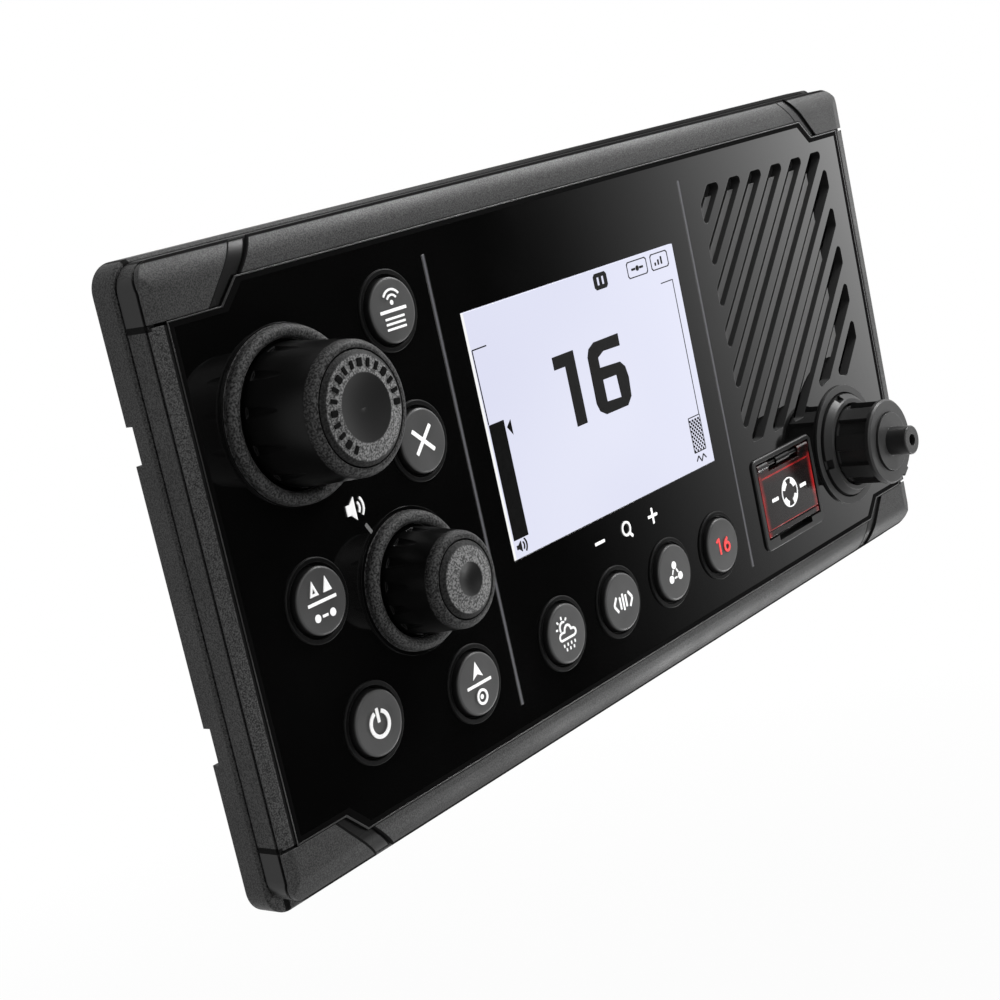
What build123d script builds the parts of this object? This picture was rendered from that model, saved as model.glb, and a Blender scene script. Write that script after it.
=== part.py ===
from build123d import *
from math import sqrt
import os

# Fixed-mount VHF marine radio for flush mounting in a dash.
# X runs to the user's right, Z up, and -Y points at the user. Y = 0 is the dash surface.
# The origin is the centre of the four mounting screws on the back of the flange.
# Places on the front are (X, Z) pairs; the origin's Z is the middle of the fascia.
# They are shares of the fascia's width and height, so the layout spreads with the panel.

os.makedirs("parts", exist_ok=True)

# ---------------------------------------------------------------- driving dimensions (mm)
# Fascia
fascia_width = 187.0
fascia_tall = 82.7
fascia_thickness = 2.0
fascia_height = 9.5
fascia_step_length = 10.3
fascia_step_drop = 3.6
fascia_step_run = 3.7
fascia_chamfer = 0.5
body_gasket_thickness = 0.4
divider_places = (-0.21497 * fascia_width, 0.17807 * fascia_width)
divider_width = 0.8
divider_end_gap = 4.05
divider_length = fascia_tall - 2 * divider_end_gap
divider_depth = 0.3

# Bezel
bezel_side = 3.6
bezel_rail = 5.55
bezel_width = fascia_width + 2 * bezel_side
bezel_height = fascia_tall + 2 * bezel_rail
bezel_corner = 4.0
side_slope_width = 2.2
side_slope_drop = 0.4
rail_slope_width = 4.3
rail_slope_drop = 1.5
rail_roll_share = 0.42
rail_roll_drop_share = 0.28
reveal_width = 0.55
reveal_depth = 0.8
side_reveal_drop = 0.55
rail_reveal_drop = 1.7
strip_end_gap = 9.0
strip_half_length = bezel_height / 2 - strip_end_gap
trim_gap = 0.6
part_gap = 0.2
cap_height = 8.5
cap_edge = bezel_height / 2 - cap_height
seam_inset_x = 11.7
seam_inset_z = 8.1
seam_x = bezel_width / 2 - seam_inset_x
seam_z = bezel_height / 2 - seam_inset_z
seam_lean = 0.9012
stripe_width = 3.5
stripe_drop = 0.4
cap_skin = 1.1
cap_leg_radius = 1.1
cap_leg_length = 1.6
cap_leg_inset = 3.6
cap_leg_clear = 2.2
running_gap = 0.1

# Flange and housing
flange_side_lip = 0.4
flange_top_lip = 0.6
flange_bottom_lip = 2.1
flange_width = bezel_width + 2 * flange_side_lip
flange_top = bezel_height / 2 + flange_top_lip
flange_bottom = bezel_height / 2 + flange_bottom_lip
flange_corner = 4.1
flange_thickness = 4.3
flange_chamfer = 0.4
pry_notch_place = 22.2
pry_notch_length = 5.6
pry_notch_depth = 1.3
tub_end_inset = 8.4
tub_height = bezel_height - 2 * tub_end_inset
tub_corner = 5.0
tub_depth = 14.0
tub_wall = 1.8
tub_floor = 2.0

# Display
screen_place = (-0.01872 * fascia_width, 0.07255 * fascia_tall)
screen_width = 61.8
screen_height = 41.2
window_lip = 2.0
window_lip_thickness = 1.0
display_thickness = 3.0
backlight_thickness = 2.0
backlight_leg_radius = 1.5
backlight_leg_inset = 3.0

# Keys: one column beside the left divider and one row under the display
key_column = -0.27059 * fascia_width
key_row = -0.36094 * fascia_tall
key_places = {
    "call_key": (-0.27193 * fascia_width, 0.37001 * fascia_tall),
    "cancel_key": (key_column, 0.12092 * fascia_tall),
    "traffic_key": (-0.42406 * fascia_width, -0.07739 * fascia_tall),
    "power_key": (-0.39465 * fascia_width, -0.33132 * fascia_tall),
    "waypoint_key": (key_column, key_row),
    "weather_key": (-0.14278 * fascia_width, key_row),
    "scan_key": (-0.05401 * fascia_width, key_row),
    "watch_key": (0.03476 * fascia_width, key_row),
    "channel_16_key": (0.12326 * fascia_width, key_row),
}
key_radius = 5.1
key_rise = 1.2
key_edge = 0.45
key_gap = 0.25
key_lip = 1.1
key_lip_thickness = 0.8
key_lip_gap = 0.4
key_post_radius = 2.0
key_travel = 0.7
key_ring_radius = 6.42
key_ring_width = 0.85
key_ring_rise = 0.35
key_ring_chamfer = 0.14

# Boards and keypad
board_front = 2.0
board_thickness = 1.6
board_margin = 6.0
board_speaker_gap = 2.0
membrane_thickness = 1.0
dome_radius = 2.4
dome_height = 1.5
dome_taper = 10.0
membrane_strip = 3.6
main_board_front = 22.0
main_board_side_gap = 4.0
main_board_end_gap = 3.0
shield_width = 58.0
shield_height = 34.0
shield_rise = 6.0
shield_skin = 0.5
amplifier_width = 46.0
amplifier_height = 14.0
amplifier_thickness = 8.0
amplifier_z = 13.0

# Knobs: plate, ring, skirt and crown of each, with the number of grip flutes
channel_place = (-0.40374 * fascia_width, 0.24788 * fascia_tall)
channel_sizes = {
    "plate": 13.42, "ring": 12.1, "base": 10.6, "crown": 9.75, "groove": 8.45,
    "cap": 7.47, "dimple": 4.97, "height": 15.1, "flutes": 12,
}
volume_place = (-0.3139 * fascia_width, -0.12092 * fascia_tall)
volume_sizes = {
    "plate": 11.49, "ring": 9.8, "base": 8.3, "crown": 7.43, "groove": 6.16,
    "cap": 5.1, "dimple": 2.63, "height": 11.8, "flutes": 14,
}
knob_plate_thickness = 0.2
knob_ring_section = 1.0
knob_ring_neck = 0.8
knob_crown_drop = 1.8
knob_groove_drop = 1.0
knob_groove_depth = 1.2
knob_groove_width = 0.25
knob_cap_drop = 0.4
knob_dimple_depth = 0.65
knob_wall = 1.7
knob_roof = 4.6
knob_hub_radius = 4.6
knob_hub_lift = 3.0
knob_foot = 1.0
knob_shoulder_out = 0.72
knob_shoulder_up = 0.66
flute_turn = 15.0
shaft_stop_gap = 1.0
flute_radius = 1.1
flute_depth = 0.45
flute_start = 2.0
shaft_radius = 3.0
shaft_gap = 0.05
shaft_flat = 0.6
bush_radius = 4.0
bush_rise = 2.0
bush_hole_gap = 0.3
knob_travel = 0.5
encoder_size = 12.0
encoder_lift = 0.1
encoder_floor = 0.8
encoder_wall_gap = 0.7
plunger_radius = 2.8
plunger_thickness = 1.0
tub_width = 2 * (encoder_size / 2 + encoder_wall_gap + tub_wall - channel_place[0])

# Speaker
slot_count = 12
slot_width = 3.5
slot_corner = 0.9
slot_reach = 1.6
slot_pitch = 7.93
slot_first_drop = 10.0
grille_left = 0.21872 * fascia_width
grille_right = 0.45882 * fascia_width
grille_bottom = -0.16082 * fascia_tall
grille_top = 0.40508 * fascia_tall
grille_clear_radius = 15.9
ledge_width = 1.5
ledge_depth = 1.2
ledge_top_drop = 0.8
ledge_root = 0.3
ledge_right_inset = 4.4
ledge_bottom_rise = 2.0
ledge_mic_gap = 2.4
grille_margin = 2.6
speaker_place = (0.32086 * fascia_width, 0.12092 * fascia_tall)
speaker_radius = 21.5
speaker_opening = 18.0
baffle_thickness = 1.3
mesh_thickness = 0.3
mesh_overlap = 1.5
basket_rim = 1.2
basket_depth = 10.0
basket_wall = 1.0
basket_lip = 2.5
basket_window_radius = 3.2
basket_window_count = 6
basket_window_margin = 1.5
cone_thickness = 0.5
cone_throat = 5.0
cone_surround = 1.5
dust_cap_rise = 2.0
magnet_radius = 11.5
magnet_thickness = 5.0
magnet_edge = 0.6

# Microphone connector
mic_place = (0.40267 * fascia_width, -0.2942 * fascia_tall)
mic_ring_radius = 12.3
mic_ring_width = 1.5
mic_ring_rise = 0.5
mic_body_radius = 10.5
mic_lock_wall = 0.9
mic_lock_top_radius = 9.4
mic_lock_rise = 2.3
mic_lock_bore = 8.5
mic_lock_notch = 2.0
mic_lock_notch_depth = 0.9
mic_lock_turn = 10.0
mic_gutter_drop = 0.4
mic_seat_depth = 1.0
mic_tail_radius = 6.5
mic_tail_length = 11.0
mic_barrel_radius = 6.2
mic_barrel_bore = 4.9
mic_barrel_rise = 6.6
mic_barrel_floor = 3.0
mic_pin_circle = 2.9
mic_pin_radius = 0.5
mic_pin_count = 8
insert_radius = 4.8
insert_end_gap = 1.2
stem_edge = 0.3
nut_hub_radius = 7.9
nut_body_radius = 7.4
nut_rib_radius = 8.25
nut_rib_count = 8
nut_rib_width = 3.2
nut_rib_turn = 30.0
nut_bore = 6.6
nut_back = 0.8
nut_shoulder = 2.5
nut_disc_back = 9.2
nut_disc_front = 10.3
nut_disc_radius = 8.62
nut_disc_chamfer = 0.35
nut_front_wall = 2.1
nut_lug_radius = 9.3
nut_lug_width = 2.2
nut_lug_angle = -57.0
boss_radius = 5.9
boss_rise = 10.8
stem_radius = 2.93
stem_rise = 15.2
cable_bore = 1.2

# Distress switch
distress_width = 22.5
distress_height = 18.2
distress_mic_gap = 1.7
distress_place = (
    mic_place[0] - mic_ring_radius - distress_mic_gap - distress_width / 2,
    -0.33011 * fascia_tall,
)
distress_corner = 1.5
distress_rim = 0.5
distress_rim_chamfer = 0.2
distress_overlap = 0.5
distress_cavity_width = 20.3
distress_cavity_top = 8.2
distress_cavity_bottom = 7.0
distress_floor = 1.0
notch_width = 12.8
notch_height = 1.0
notch_depth = 2.5
flap_width = 19.5
flap_thickness = 1.3
flap_gap = 0.4
flap_proud = 0.4
flap_lip = 1.1
flap_groove = 0.3
hinge_pin_radius = 0.5
hinge_pin_gap = 0.06
hinge_pin_inset = 1.1
hinge_pin_depth = 0.7
knuckle_radius = 0.9
knuckle_length = 4.0
spring_length = 5.0
spring_wall = 0.3
distress_button_width = 11.0
distress_button_height = 7.0
distress_button_rise = 1.5
distress_button_corner = 1.0
distress_stem_radius = 2.0
distress_collar_radius = 3.0

# Mounting and fasteners
mount_inset_x = 9.5
mount_inset_z = 4.9
mount_spacing_x = flange_width - 2 * mount_inset_x
mount_spacing_z = bezel_height - 2 * mount_inset_z
mount_hole_radius = 2.1
mount_head_radius = 4.2
dash_gasket_thickness = 0.8
dash_gasket_margin = 1.6
case_screw_inset = 8.0
case_screw_top_inset = 5.5
case_screw_bottom_inset = 4.5
case_screw_places = (
    (case_screw_inset - tub_width / 2, tub_height / 2 - case_screw_top_inset),
    (tub_width / 2 - case_screw_inset, tub_height / 2 - case_screw_top_inset),
    (-0.33422 * fascia_width, case_screw_bottom_inset - tub_height / 2),
    (0.34545 * fascia_width, case_screw_bottom_inset - tub_height / 2),
)
screw_radius = 1.5
screw_head_radius = 2.8
screw_head_height = 1.8
screw_bite = 2.2
boss_outer_radius = 4.0
spigot_radius = 2.6
fit_gap = 0.2

# Chassis
chassis_width = 108.0
chassis_height = 66.0
chassis_foot_width = 124.0
chassis_foot_height = 56.0
chassis_foot = 3.0
chassis_screw_inset_x = 4.0
chassis_screw_inset_z = 6.0
chassis_back = 44.0
chassis_wall = 4.0
chassis_corner = 4.0
fin_count = 12
fin_pitch = 8.6
fin_thickness = 2.0
fin_height = 6.0
fin_base = 2.0
fin_top = chassis_height / 2
fin_bottom = -4.0
board_post_radius = 3.0

# Rear connectors, all on one row
connector_row_inset = 14.0
connector_row = connector_row_inset - chassis_height / 2
antenna_x = -37.0
network_x = 0.0
power_x = 33.0
antenna_thread_radius = 7.94
antenna_thread_length = 12.0
antenna_flange = 25.4
antenna_flange_thickness = 2.0
antenna_flange_corner = 2.0
socket_floor = 2.0
antenna_bore = 6.0
antenna_contact_radius = 3.0
antenna_contact_bore = 2.0
network_thread_radius = 6.0
network_thread_length = 9.0
network_nut_radius = 8.5
network_bore = 4.4
network_pin_count = 5
gland_base_radius = 8.5
gland_tip_radius = 5.5
gland_length = 14.0
gland_base_length = 2.8
gland_neck = 0.8
power_cable_bore = 3.0

cut_margin = 2.0  # how far a cutting profile runs past the body it cuts

# ---------------------------------------------------------------- levels along Y
face = -fascia_height
carrier = face + fascia_thickness
flange_front = -flange_thickness
frame_back = flange_front - body_gasket_thickness
tub_back = tub_depth
tub_floor_front = tub_depth - tub_floor
board_back = board_front + board_thickness
window_back = carrier + window_lip_thickness
display_back = window_back + display_thickness
backlight_back = display_back + backlight_thickness
membrane_front = board_front - membrane_thickness
dome_top = membrane_front - dome_height
post_end = dome_top - key_travel - running_gap


# ---------------------------------------------------------------- helpers
def facing(y):
    """Sketch plane across the radio at Y = y, with its normal towards the user."""
    return Plane(origin=(0, y, 0), x_dir=(1, 0, 0), z_dir=(0, -1, 0))


def section(place, y=face):
    """Half-section plane of a round piece: x is its radius, y its height above Y = y."""
    return Plane(origin=(place[0], y, place[1]), x_dir=(1, 0, 0), z_dir=(0, 0, -1))


def turning(place):
    """Axis of a round piece, pointing at the user."""
    return Axis((place[0], 0, place[1]), (0, -1, 0))


def save(name, builder):
    """Label a finished piece and write its STEP file."""
    builder.part.label = name
    export_step(builder.part, f"parts/{name}.step")


def spun(place, outline, y=face):
    """Solid turned about a piece's axis from (radius, height above Y = y) corners."""
    with BuildPart() as turned:
        with BuildSketch(section(place, y)):
            with BuildLine():
                Polyline(*outline, close=True)
            make_face()
        revolve(axis=turning(place))
    return turned.part


def fascia_outline(grow=0.0):
    """Fascia outline with its four stepped corners."""
    half_width = fascia_width / 2 + grow
    half_height = fascia_tall / 2 + grow
    step_x = fascia_width / 2 - fascia_step_length + grow
    step_z = fascia_tall / 2 - fascia_step_drop + grow
    diagonal_x = step_x - fascia_step_run
    quarter = ((diagonal_x, half_height), (step_x, step_z), (half_width, step_z))
    with BuildSketch() as outline:
        with BuildLine():
            Polyline(
                *[(x, z) for x, z in quarter],
                *[(x, -z) for x, z in reversed(quarter)],
                *[(-x, -z) for x, z in quarter],
                *[(-x, z) for x, z in reversed(quarter)],
                close=True,
            )
        make_face()
    return outline.sketch


def speaker_slots():
    """Centre line ends of the diagonal slots.

    Each slot lies on a 45 degree line. The grille's rectangle cuts the line off,
    and so does a circle that keeps clear of the microphone connector.
    """
    slots = []
    diagonal = Vector(1, 1).normalized()
    hub = Vector(*mic_place)
    for number in range(slot_count):
        drop = slot_first_drop + slot_pitch * number
        start_x = max(grille_left, drop + grille_bottom)
        end_x = min(grille_right, drop + grille_top)
        start = Vector(start_x, start_x - drop)
        end = Vector(end_x, end_x - drop)
        along = (start - hub).dot(diagonal)
        beside = (start - hub).length ** 2 - along**2
        if beside < grille_clear_radius**2:
            leave = sqrt(grille_clear_radius**2 - beside)
            start = start + diagonal * max(0.0, leave - along)
        if (end - start).dot(diagonal) > slot_width / 4:
            slots.append((start, end))
    return slots


def slot_openings():
    """Diagonal slots, cut off upright and level by the grille's rectangle, corners rounded."""
    width = grille_right - grille_left + 2 * slot_reach
    height = grille_top - grille_bottom + 2 * slot_reach
    with BuildSketch() as openings:
        for start, end in speaker_slots():
            middle = (start + end) / 2
            with Locations((middle.X, middle.Y)):
                Rectangle((end - start).length + 2 * slot_width, slot_width, rotation=45)
        with Locations(((grille_left + grille_right) / 2, (grille_bottom + grille_top) / 2)):
            Rectangle(width, height, mode=Mode.INTERSECT)
        with Locations(mic_place):
            Circle(grille_clear_radius - slot_reach, mode=Mode.SUBTRACT)
        offset(amount=-slot_corner, mode=Mode.REPLACE)
        offset(amount=slot_corner, mode=Mode.REPLACE)
    return openings.sketch


def bezel_body(drop=0.0):
    """Bezel envelope: side strips slope outwards, rails roll over. drop sinks its front."""
    top = face + drop
    half_width = bezel_width / 2
    half_height = bezel_height / 2
    with BuildPart() as body:
        with BuildSketch(facing(frame_back)):
            RectangleRounded(bezel_width, bezel_height, bezel_corner)
        extrude(amount=frame_back - top)
        with BuildSketch(Plane.XY):
            with BuildLine():
                Polyline(
                    (half_width - side_slope_width, top),
                    (half_width, top + side_slope_drop),
                    (half_width + cut_margin, top + side_slope_drop),
                    (half_width + cut_margin, top - cut_margin),
                    (half_width - side_slope_width, top - cut_margin),
                    close=True,
                )
            make_face()
            mirror(about=Plane.YZ)
        extrude(amount=half_height, both=True, mode=Mode.SUBTRACT)
        with BuildSketch(Plane.YZ):
            with BuildLine():
                roll_start = (top, half_height - rail_slope_width)
                roll_end = (top + rail_slope_drop, half_height)
                roll_middle = (
                    top + rail_slope_drop * rail_roll_drop_share,
                    half_height - rail_slope_width * rail_roll_share,
                )
                ThreePointArc(roll_start, roll_middle, roll_end)
                Polyline(
                    roll_end,
                    (roll_end[0], half_height + cut_margin),
                    (top - cut_margin, half_height + cut_margin),
                    (top - cut_margin, roll_start[1]),
                    roll_start,
                )
            make_face()
            mirror(about=Plane.XZ)
        extrude(amount=half_width, both=True, mode=Mode.SUBTRACT)
    return body.part


def behind_reveal(drop):
    """Everything behind the shadow gap that runs round the bezel's edge."""
    half_height = bezel_height / 2
    corner_start = half_height - bezel_corner
    side_level = face + side_reveal_drop + drop
    rail_level = face + rail_reveal_drop + drop
    with BuildPart() as rear:
        with BuildSketch(facing(frame_back)):
            RectangleRounded(bezel_width, bezel_height, bezel_corner)
        extrude(amount=frame_back - side_level)
        with BuildSketch(Plane.YZ):
            with BuildLine():
                Polyline(
                    (side_level, corner_start),
                    (rail_level, half_height - reveal_depth),
                    (rail_level, half_height + cut_margin),
                    (side_level - cut_margin, half_height + cut_margin),
                    (side_level - cut_margin, corner_start),
                    close=True,
                )
            make_face()
            mirror(about=Plane.XZ)
        extrude(amount=bezel_width / 2, both=True, mode=Mode.SUBTRACT)
    return rear.part


def bezel_core(front, back):
    """Block inside the reveal, between two levels."""
    with BuildPart() as core:
        with BuildSketch(facing(back)):
            RectangleRounded(
                bezel_width - 2 * reveal_depth,
                bezel_height - 2 * reveal_depth,
                bezel_corner - reveal_depth,
            )
        extrude(amount=back - front)
    return core.part


def seam(z, shift=0.0):
    """X of the slanted seam between a rail and a corner cap at height z."""
    return seam_x - (z - seam_z) * seam_lean - shift


# ---------------------------------------------------------------- fascia
ledge_right = grille_right - ledge_right_inset
ledge_left = grille_left - slot_reach - ledge_root
ledge_bottom = grille_bottom + ledge_bottom_rise
ledge_top = grille_top - ledge_top_drop

with BuildPart() as fascia_panel:
    with BuildSketch(facing(carrier)):
        add(fascia_outline())
        with Locations(screen_place):
            Rectangle(
                screen_width + 2 * running_gap,
                screen_height + 2 * running_gap,
                mode=Mode.SUBTRACT,
            )
        with Locations(*key_places.values()):
            Circle(key_radius + key_gap, mode=Mode.SUBTRACT)
        with Locations(channel_place, volume_place):
            Circle(bush_radius + bush_hole_gap, mode=Mode.SUBTRACT)
        with Locations(mic_place):
            Circle(mic_body_radius + fit_gap, mode=Mode.SUBTRACT)
        with Locations(distress_place):
            RectangleRounded(
                distress_width - 2 * distress_overlap + 2 * running_gap,
                distress_height - 2 * distress_overlap + 2 * running_gap,
                distress_corner - distress_overlap,
                mode=Mode.SUBTRACT,
            )
        add(slot_openings(), mode=Mode.SUBTRACT)
    extrude(amount=fascia_thickness)
    # each slot keeps a ledge along its lower side, which sheds water past the speaker
    with BuildSketch(facing(carrier)):
        for start, end in speaker_slots():
            lower_side = Vector(1, -1).normalized() * (slot_width - ledge_width + ledge_root) / 2
            middle = (start + end) / 2 + lower_side
            with Locations((middle.X, middle.Y)):
                Rectangle(
                    (end - start).length + 2 * slot_width, ledge_width + ledge_root, rotation=45
                )
        with Locations(((ledge_left + ledge_right) / 2, (ledge_bottom + ledge_top) / 2)):
            Rectangle(
                ledge_right - ledge_left, ledge_top - ledge_bottom, mode=Mode.INTERSECT
            )
        with Locations(mic_place):
            Circle(grille_clear_radius + ledge_mic_gap, mode=Mode.SUBTRACT)
    extrude(amount=fascia_thickness - ledge_depth)
    rim = fascia_panel.faces().sort_by(Axis.Y)[0].outer_wire().edges()
    chamfer(rim, fascia_chamfer)
    with BuildSketch(facing(face)):
        with Locations(*[(x, 0) for x in divider_places]):
            Rectangle(divider_width, divider_length)
    extrude(amount=-divider_depth, mode=Mode.SUBTRACT)
save("fascia_panel", fascia_panel)

with BuildPart() as divider_strips:
    with BuildSketch(facing(face + divider_depth)):
        with Locations(*[(x, 0) for x in divider_places]):
            Rectangle(divider_width, divider_length)
    extrude(amount=divider_depth)
save("divider_strips", divider_strips)

# ---------------------------------------------------------------- bezel frame and trims
with BuildPart() as rear_band:
    add(behind_reveal(0.0))
    add(bezel_core(face, frame_back), mode=Mode.SUBTRACT)

with BuildPart() as front_trim:
    add(bezel_body())
    add(rear_band.part, mode=Mode.SUBTRACT)
    add(bezel_core(carrier, frame_back), mode=Mode.SUBTRACT)
    with BuildSketch(facing(frame_back)):
        add(fascia_outline(trim_gap))
    extrude(amount=frame_back - face, mode=Mode.SUBTRACT)

with BuildPart() as side_strips:
    add(front_trim.part)
    with BuildSketch(facing(carrier)):
        Rectangle(bezel_width, 2 * strip_half_length)
    extrude(amount=carrier - face, mode=Mode.INTERSECT)

mount_corners = GridLocations(mount_spacing_x, mount_spacing_z, 2, 2).locations
mount_places = [(spot.position.X, spot.position.Y) for spot in mount_corners]
leg_inset_x = bezel_width / 2 - cap_leg_inset
leg_inset_z = bezel_height / 2 - cap_leg_inset
leg_places = (
    (leg_inset_x, leg_inset_z),
    (mount_spacing_x / 2 - mount_head_radius - cap_leg_clear, leg_inset_z),
)

with BuildPart() as bezel_frame:
    add(behind_reveal(reveal_width))
    add(bezel_core(face, carrier), mode=Mode.SUBTRACT)
    add(side_strips.part)
    with BuildSketch(facing(frame_back)):
        with Locations(screen_place):
            Rectangle(
                screen_width + 2 * window_lip + 2 * fit_gap,
                screen_height + 2 * window_lip + 2 * fit_gap,
            )
        with Locations(*key_places.values()):
            Circle(key_radius + key_lip + key_lip_gap)
        with Locations(channel_place, volume_place):
            Circle(bush_radius + bush_hole_gap)
        with Locations(mic_place):
            Circle(mic_tail_radius + fit_gap)
        with Locations(speaker_place):
            Circle(speaker_opening)
        with Locations(distress_place):
            Rectangle(
                distress_width - 2 * distress_overlap + 2 * running_gap,
                distress_height - 2 * distress_overlap + 2 * running_gap,
            )
        with Locations(*mount_places):
            Circle(mount_head_radius)
        with Locations(*case_screw_places):
            Circle(screw_radius)
        for side in (1, -1):
            for level in (1, -1):
                with Locations(*[(side * x, level * z) for x, z in leg_places]):
                    Circle(cap_leg_radius + fit_gap)
    extrude(amount=frame_back - carrier, mode=Mode.SUBTRACT)
    # sound chamber in front of the speaker's baffle, and the connector's seat
    with BuildSketch(facing(frame_back - baffle_thickness)):
        with Locations(
            ((grille_left + grille_right) / 2, (grille_bottom + grille_top) / 2)
        ):
            Rectangle(
                grille_right - grille_left + 2 * grille_margin,
                grille_top - grille_bottom + 2 * grille_margin,
            )
    extrude(amount=frame_back - baffle_thickness - carrier, mode=Mode.SUBTRACT)
    with BuildSketch(facing(carrier + mic_seat_depth)):
        with Locations(mic_place):
            Circle(mic_body_radius + fit_gap)
    extrude(amount=mic_seat_depth, mode=Mode.SUBTRACT)
save("bezel_frame", bezel_frame)


def rail(level):
    """Long rounded trim between two corner caps; level is 1 above the fascia, -1 below."""
    inner = bezel_height / 2 - rail_slope_width - cut_margin
    outer = bezel_height / 2 + cut_margin
    shift = stripe_width + part_gap
    with BuildPart() as piece:
        add(front_trim.part)
        with BuildSketch(facing(carrier)):
            with BuildLine():
                Polyline(
                    (-seam(inner, shift), level * inner),
                    (seam(inner, shift), level * inner),
                    (seam(outer, shift), level * outer),
                    (-seam(outer, shift), level * outer),
                    close=True,
                )
            make_face()
        extrude(amount=carrier - face, mode=Mode.INTERSECT)
    return piece


def corner_cap(side):
    """Upper clip-on cap over one mounting screw, with its slanted stripe and two legs."""
    outer_x = bezel_width / 2 + cut_margin
    outer_z = bezel_height / 2 + cut_margin
    corner = [
        (seam(cap_edge), cap_edge),
        (outer_x, cap_edge),
        (outer_x, outer_z),
        (seam(outer_z), outer_z),
    ]
    stripe = [
        (seam(cap_edge, stripe_width), cap_edge),
        (seam(cap_edge), cap_edge),
        (seam(outer_z), outer_z),
        (seam(outer_z, stripe_width), outer_z),
    ]
    with BuildPart() as slanted_stripe:
        add(front_trim.part)
        with BuildSketch(facing(carrier)):
            with BuildLine():
                Polyline(*[(side * x, z) for x, z in stripe], close=True)
            make_face()
        extrude(amount=carrier - face, mode=Mode.INTERSECT)
        add(bezel_body(stripe_drop), mode=Mode.INTERSECT)
    with BuildPart() as cap:
        add(front_trim.part)
        with BuildSketch(facing(carrier)):
            with BuildLine():
                Polyline(*[(side * x, z) for x, z in corner], close=True)
            make_face()
        extrude(amount=carrier - face, mode=Mode.INTERSECT)
        add(slanted_stripe.part)
        with BuildSketch(facing(carrier)):
            with Locations((side * mount_spacing_x / 2, mount_spacing_z / 2)):
                Circle(mount_head_radius)
        extrude(amount=fascia_thickness - cap_skin, mode=Mode.SUBTRACT)
        with BuildSketch(facing(carrier + cap_leg_length)):
            with Locations(*[(side * x, z) for x, z in leg_places]):
                Circle(cap_leg_radius)
        extrude(amount=cap_leg_length + fascia_thickness - cap_skin)
    return cap


for name, level in (("rail_top", 1), ("rail_bottom", -1)):
    save(name, rail(level))
for column, side in (("left", -1), ("right", 1)):
    upper_cap = corner_cap(side)
    with BuildPart() as lower_cap:
        mirror(upper_cap.part, about=Plane.XY)
    save(f"corner_cap_top_{column}", upper_cap)
    save(f"corner_cap_bottom_{column}", lower_cap)

# ---------------------------------------------------------------- housing
flange_height = flange_top + flange_bottom
flange_middle = (flange_top - flange_bottom) / 2
tub_inner_width = tub_width - 2 * tub_wall
tub_inner_height = tub_height - 2 * tub_wall
fin_middle = (fin_top + fin_bottom) / 2
chassis_window_width = chassis_width - 2 * chassis_wall
chassis_window_height = chassis_height - 2 * chassis_wall
main_board_width = chassis_window_width - 2 * main_board_side_gap
main_board_height = chassis_window_height - 2 * main_board_end_gap
chassis_screw_x = chassis_foot_width / 2 - chassis_screw_inset_x
chassis_screw_z = chassis_foot_height / 2 - chassis_screw_inset_z
chassis_screw_places = [
    (side * chassis_screw_x, level * chassis_screw_z) for side in (-1, 1) for level in (1, -1)
]
gasket_inner_width = tub_width + dash_gasket_margin
gasket_inner_height = tub_height + dash_gasket_margin
gasket_outer_width = flange_width - 2 * dash_gasket_margin
gasket_outer_height = bezel_height - 2 * dash_gasket_margin

with BuildPart() as rear_housing:
    with BuildSketch(facing(0)):
        with Locations((0, flange_middle)):
            RectangleRounded(flange_width, flange_height, flange_corner)
    extrude(amount=flange_thickness)
    chamfer(rear_housing.faces().sort_by(Axis.Y)[0].edges(), flange_chamfer)
    with BuildSketch(facing(0)):
        RectangleRounded(tub_width, tub_height, tub_corner)
    extrude(amount=-tub_depth)
    with BuildSketch(facing(tub_floor_front)):
        RectangleRounded(tub_inner_width, tub_inner_height, tub_corner - tub_wall)
    extrude(amount=tub_floor_front - flange_front, mode=Mode.SUBTRACT)
    with BuildSketch(facing(tub_back)):
        Rectangle(chassis_window_width, chassis_window_height)
    extrude(amount=tub_floor, mode=Mode.SUBTRACT)
    # screw bosses: a shoulder that carries the front board, then a spigot to the bezel frame
    with BuildSketch(facing(tub_floor_front)):
        with Locations(*case_screw_places):
            Circle(boss_outer_radius)
    extrude(amount=tub_floor_front - board_back)
    with BuildSketch(facing(tub_floor_front)):
        with Locations(*case_screw_places):
            Circle(spigot_radius)
    extrude(amount=tub_floor_front - frame_back)
    with BuildSketch(facing(tub_back)):
        with Locations(*case_screw_places):
            Circle(screw_radius)
    extrude(amount=tub_back - frame_back, mode=Mode.SUBTRACT)
    with BuildSketch(facing(tub_back)):
        with Locations(*chassis_screw_places):
            Circle(screw_radius)
    extrude(amount=tub_floor, mode=Mode.SUBTRACT)
    with BuildSketch(facing(0)):
        with Locations(*mount_places):
            Circle(mount_hole_radius)
    extrude(amount=flange_thickness, mode=Mode.SUBTRACT)
    # recess for the dash gasket, and the pry notches in the side edges
    with BuildSketch(facing(0)):
        Rectangle(gasket_outer_width, gasket_outer_height)
        RectangleRounded(
            gasket_inner_width, gasket_inner_height, tub_corner, mode=Mode.SUBTRACT
        )
        with Locations(*mount_places):
            Circle(mount_head_radius, mode=Mode.SUBTRACT)
    extrude(amount=dash_gasket_thickness, mode=Mode.SUBTRACT)
    with BuildSketch(facing(0)):
        with GridLocations(flange_width, 2 * pry_notch_place, 2, 2):
            Rectangle(2 * pry_notch_depth, pry_notch_length)
    extrude(amount=pry_notch_depth, mode=Mode.SUBTRACT)
save("rear_housing", rear_housing)

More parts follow.
